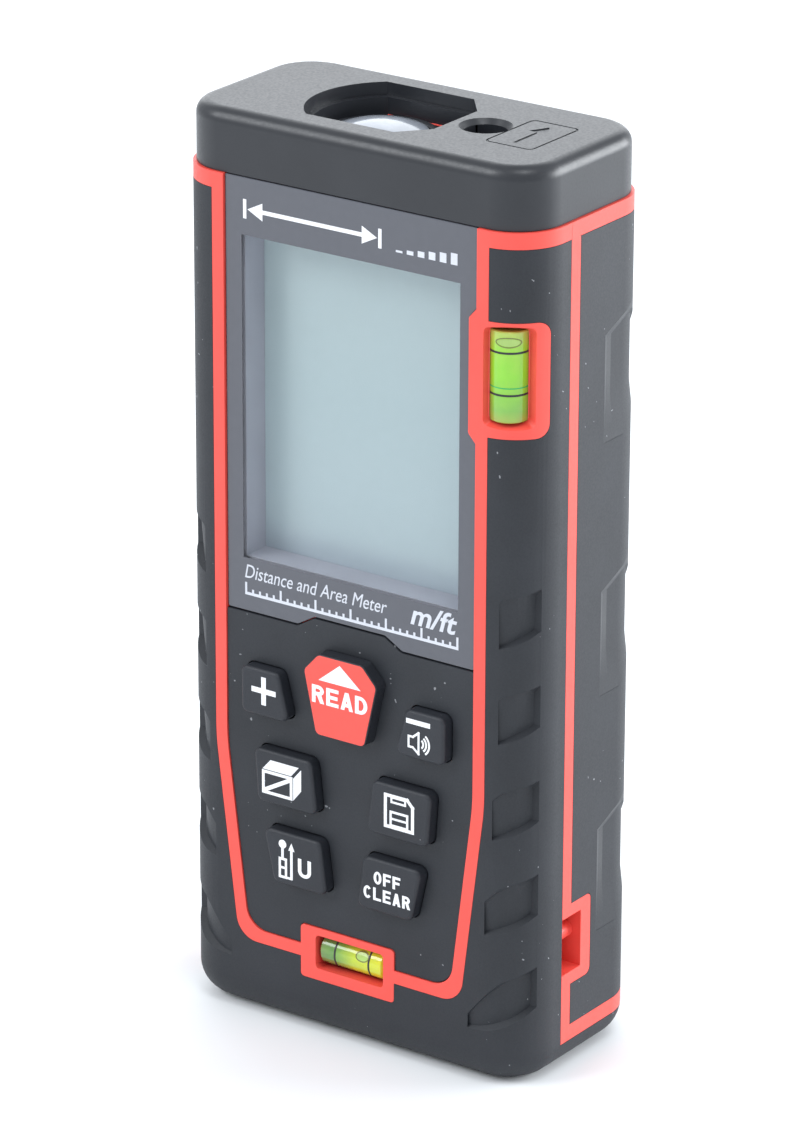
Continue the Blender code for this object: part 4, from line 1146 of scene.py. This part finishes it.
# ------------------------------------------------------------------ levels

def vial_profile(radius, low, high, edge):
    """Half outline of a vial from end to end, with its end edges bevelled."""
    return [(0.0, high), (radius - edge, high), (radius, high - edge), (radius, low + edge),
            (radius - edge, low), (0.0, low)]


def vial_line(name, axis, radius, proud, half, place, finish):
    """A fine line round a vial: the printed marks, and also the painted gleam on the corner vial."""
    outer, inner = radius + proud, radius - 0.1
    line = turned(name, [(outer, half), (outer, -half), (inner, -half), (inner, half)], place, axis=axis,
                  closed=True)
    complete(line, finish)


def make_levels():
    low, high = reach("front_vial")
    centre, radius = (low + high) / 2, (high.z - low.z) / 2
    profile = [(out, along - centre.x) for out, along in vial_profile(radius, low.x, high.x, 0.35)]
    vial = turned("front_vial_acrylic", profile, centre, axis="x")
    fluid = fluid_finish("front_vial_fluid", "X", centre.x, (high.x - low.x) / 2, (0.0, (0.10, 0.17, 0.07)),
                         (0.2, (0.07, 0.22, 0.06)), (0.34, (0.16, 0.34, 0.06)), (0.55, (0.52, 0.62, 0.03)),
                         (1.0, (0.72, 0.70, 0.02)))
    complete(vial, fluid, replaced=["front_vial"])
    for index, place in enumerate((centre.x - 2.3, centre.x + 2.6)):
        vial_line(f"front_vial_line_{index + 1}", "x", radius, 0.03, 0.12, (place, centre.y, centre.z),
                  EPOXY_FINISH)
    low, high = reach("corner_vial")
    centre, radius = (low + high) / 2, (high.x - low.x) / 2
    vial = turned("corner_vial_acrylic", vial_profile(radius, low.z, high.z, 0.12), (centre.x, centre.y, 0.0))
    fluid = fluid_finish("corner_vial_fluid", "Z", centre.z, (high.z - low.z) / 2, (0.0, (0.30, 0.36, 0.06)),
                         (0.12, (0.16, 0.42, 0.06)), (0.5, (0.20, 0.60, 0.02)), (0.8, (0.24, 0.58, 0.03)),
                         (1.0, (0.42, 0.50, 0.10)))
    complete(vial, fluid, replaced=["corner_vial"])
    for index, place in enumerate((85.5, 90.5)):
        vial_line(f"corner_vial_line_{index + 1}", "z", radius, 0.03, 0.12, (centre.x, centre.y, place),
                  EPOXY_FINISH)
    # thin pale green ring: painted gleam of light on the fluid
    vial_line("corner_vial_gleam", "z", radius, 0.02, 0.07, (centre.x, centre.y, 86.35), GREEN_LINE)


def bubble(name, axis, place, radii, hole, span, centre, radius):
    """A thin oval, or with a hole only its edge, laid round the surface of a vial."""
    ring = slab(name, oval(place, radii, 0, 352, 44), "y", span,
                holes=[oval(place, hole, 0, 352, 44)] if hole else [])
    skin = radius if hole else radius - 0.01
    shell = cut(rod("shell", axis, centre, skin + 0.03, (-30, 120), 96),
                rod("inside", axis, centre, skin - 0.08, (-31, 121), 96))
    return keep(ring, shell)


def make_bubbles():
    low, high = reach("front_vial")
    centre, radius = (low + high) / 2, (high.z - low.z) / 2
    for name, radii, hole, finish in (("front_bubble_edge", (0.95, 0.62), (0.83, 0.5), BUBBLE_EDGE),
                                      ("front_bubble", (0.8, 0.47), None, BUBBLE_FINISH)):
        piece = bubble(name, "x", (1.75, centre.z + 0.85), radii, hole, (-14.0, centre.y),
                       (centre.y, centre.z), radius)
        complete(piece, finish)
    low, high = reach("corner_vial")
    centre, radius = (low + high) / 2, (high.x - low.x) / 2
    for name, radii, hole, finish in (("corner_bubble_edge", (1.5, 0.62), (1.38, 0.5), BUBBLE_EDGE),
                                      ("corner_bubble", (1.3, 0.42), None, BUBBLE_FINISH)):
        piece = bubble(name, "z", (0.0, 91.75), radii, hole, (-6.0, 0.0), (0.0, 0.0), radius)
        turn_upright(piece, LEVEL_TURN, (centre.x, centre.y, 0.0))
        complete(piece, finish)


# ------------------------------------------------------------------ back

def make_back():
    low, high = reach("rear_panel")
    door_low, door_high = reach("battery_door")
    sides, ends = (low.x, high.x), (low.z, high.z)
    panel = slab("rear_panel_plastic", rounded(rectangle(sides, ends, 2.0)), "y", (low.y, high.y))
    door_x = door_high.x - 0.8
    axis_y, axis_z = 12.0, 13.0
    sides, ends = (-door_x - 0.15, door_x + 0.15), (door_low.z - 0.2, door_high.z + 0.15)
    cut(panel, slab("doorway", rounded(rectangle(sides, ends, 0.0)), "y", (10.0, 14.0)),
        block("pins", (door_low.x - 0.3, door_high.x + 0.3), (10.0, 14.0), (axis_z - 0.7, axis_z + 0.7)),
        slab("label_seat", rounded(rectangle((-13.0, 13.0), (70.5, 93.5), 1.5)), "y", (BACK - 0.25, 14.0)))
    soften(panel, 0.15, segments=3)
    complete(panel, DOOR_FINISH, replaced=["rear_panel"])
    outline = rounded(rectangle((-12.6, 12.6), (70.9, 93.1), 1.2))
    label = slab("rear_label", outline, "y", (BACK - 0.3, BACK - 0.12))
    soften(label, 0.03)
    complete(label, LABEL_FINISH)
    door = block("battery_door_plastic", (-door_x, door_x), (low.y, BACK), (door_low.z, door_high.z))
    bevel_where(door, at("z", door_low.z), 0.45, 5)
    join(door, block("plug", (-11.0, 11.0), (10.3, 12.0), (14.4, 63.6)),
         rod("pins", "x", (axis_y, axis_z), 0.4, (door_low.x, door_high.x), 24))
    ribs = [block("rib", (-9.0, 9.0), (BACK - 0.35, 14.0), (44.0 + index * 2.2, 44.7 + index * 2.2))
            for index in range(5)]
    cut(door, block("latch_seat", (-4.8, 4.8), (9.0, 14.0), (58.3, 70.0)), gather("ribs", *ribs))
    soften(door, 0.15, segments=3)
    complete(door, DOOR_FINISH, body="battery_door", replaced=["battery_door"])
    latch = block("door_latch_plastic", (-4.5, 4.5), (low.y, BACK + 0.2), (59.9, 65.5))
    join(latch, block("tongue", (-3.6, 3.6), (10.4, 12.0), (59.9, 63.6)))
    for index in range(3):
        join(latch, block("ridge", (-3.4, 3.4), (12.2, 12.9), (61.0 + 1.2 * index, 61.5 + 1.2 * index)))
    soften(latch, 0.12)
    complete(latch, DOOR_FINISH, body="door_latch", replaced=["door_latch"])


# ------------------------------------------------------------------ pieces kept from the CAD

def finish_kept_nodes():
    steel = ["sensor_can", "battery_spring_a", "battery_spring_b", "contact_bridge", "contact_positive",
             "contact_negative"]
    steel += [f"housing_screw_{index}" for index in range(1, 5)] + [f"{name}_switch" for name in KEYS]
    for finish, nodes in ((LCD_FINISH, ["lcd_panel"]), (WHITE_FINISH, ["lcd_backlight"]),
                          (EPOXY_FINISH, ["lcd_connector", "processor_chip", "buzzer"]),
                          (BOARD_FINISH, ["main_board", "sensor_board"]), (WELL_FINISH, ["optics_carrier"]),
                          (BRASS_FINISH, ["laser_module"]), (LENS_FINISH, ["laser_window"]),
                          (CELL_FINISH, ["battery_a", "battery_b"]), (STEEL_FINISH, steel)):
        for node in nodes:
            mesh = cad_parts[node].data
            mesh.materials.clear()
            mesh.materials.append(finish)


# ------------------------------------------------------------------ floor, light and camera

def make_stage():
    bpy.ops.object.select_all(action="DESELECT")
    bpy.ops.mesh.primitive_plane_add(size=6.0, location=(0.0, 0.0, 0.0))
    floor = bpy.context.active_object
    floor.name = "floor"
    paper = Finish("pale_floor", (0.86, 0.87, 0.88), 0.7)
    paper.set(Base_Color=paper.mix(paper.noise(40.0), (0.85, 0.86, 0.875), (0.87, 0.88, 0.89)))
    floor.data.materials.append(paper.material)
    world = bpy.data.worlds.new("studio")
    bpy.context.scene.world = world
    world.use_nodes = True
    world.node_tree.nodes["Background"].inputs["Color"].default_value = (0.92, 0.96, 1.0, 1.0)
    world.node_tree.nodes["Background"].inputs["Strength"].default_value = 0.86
    for name, place, size, power in (
            ("front_light", (-0.6, -0.7, 0.8), 0.6, 7.0), ("right_light", (0.8, 0.95, 0.15), 1.0, 31.0),
            ("back_light", (-0.9, 1.2, 0.62), 1.4, 10.5), ("top_light", (0.45, -0.25, 1.25), 0.5, 4.0)):
        softbox(name, place, size, power)


def softbox(name, place, size, power):
    light = bpy.data.lights.new(name, "AREA")
    light.size = size
    light.energy = power
    light.color = (0.94, 0.97, 1.0)
    lamp = bpy.data.objects.new(name, light)
    lamp.location = place
    lamp.rotation_euler = (Vector((0.0, 0.0, 0.056)) - Vector(place)).to_track_quat("-Z", "Y").to_euler()
    bpy.context.scene.collection.objects.link(lamp)


def make_camera():
    azimuth, elevation, roll = math.radians(35.13), math.radians(21.04), math.radians(0.23)
    distance, raise_by, middle = 685.55, 1.08, Vector((0.0, 0.0, 56.0))
    tall = 1131              # the frame's longer side; the focal length and the shift are in the same unit
    focal, shift = 5867.8, (10.65, -2.75)
    back = Vector((math.sin(azimuth) * math.cos(elevation), -math.cos(azimuth) * math.cos(elevation),
                   math.sin(elevation)))
    right = (-back).cross(Vector((0.0, 0.0, 1.0))).normalized()
    up = right.cross(-back)
    camera = bpy.data.cameras.new("camera")
    camera.sensor_width = 36.0
    camera.lens = focal / tall * 36.0
    camera.shift_x, camera.shift_y = -shift[0] / tall, shift[1] / tall
    camera.clip_start = 0.01
    eye = bpy.data.objects.new("camera", camera)
    turn = Matrix((right, up, back)).transposed() @ Matrix.Rotation(roll, 3, "Z")
    place = (middle + up * raise_by + back * distance) * MM
    eye.matrix_world = Matrix.Translation(place) @ turn.to_4x4()
    bpy.context.scene.collection.objects.link(eye)
    bpy.context.scene.camera = eye


bpy.context.scene.view_settings.view_transform = "Standard"
make_stage()
make_camera()
make_front_boot()
make_rear_grip()
make_keypad_mat()
make_front_housing()
make_rear_housing()
make_cap()
make_lens()
make_display()
make_keys()
key_legends()
window_prints()
make_levels()
make_bubbles()
make_back()
finish_kept_nodes()
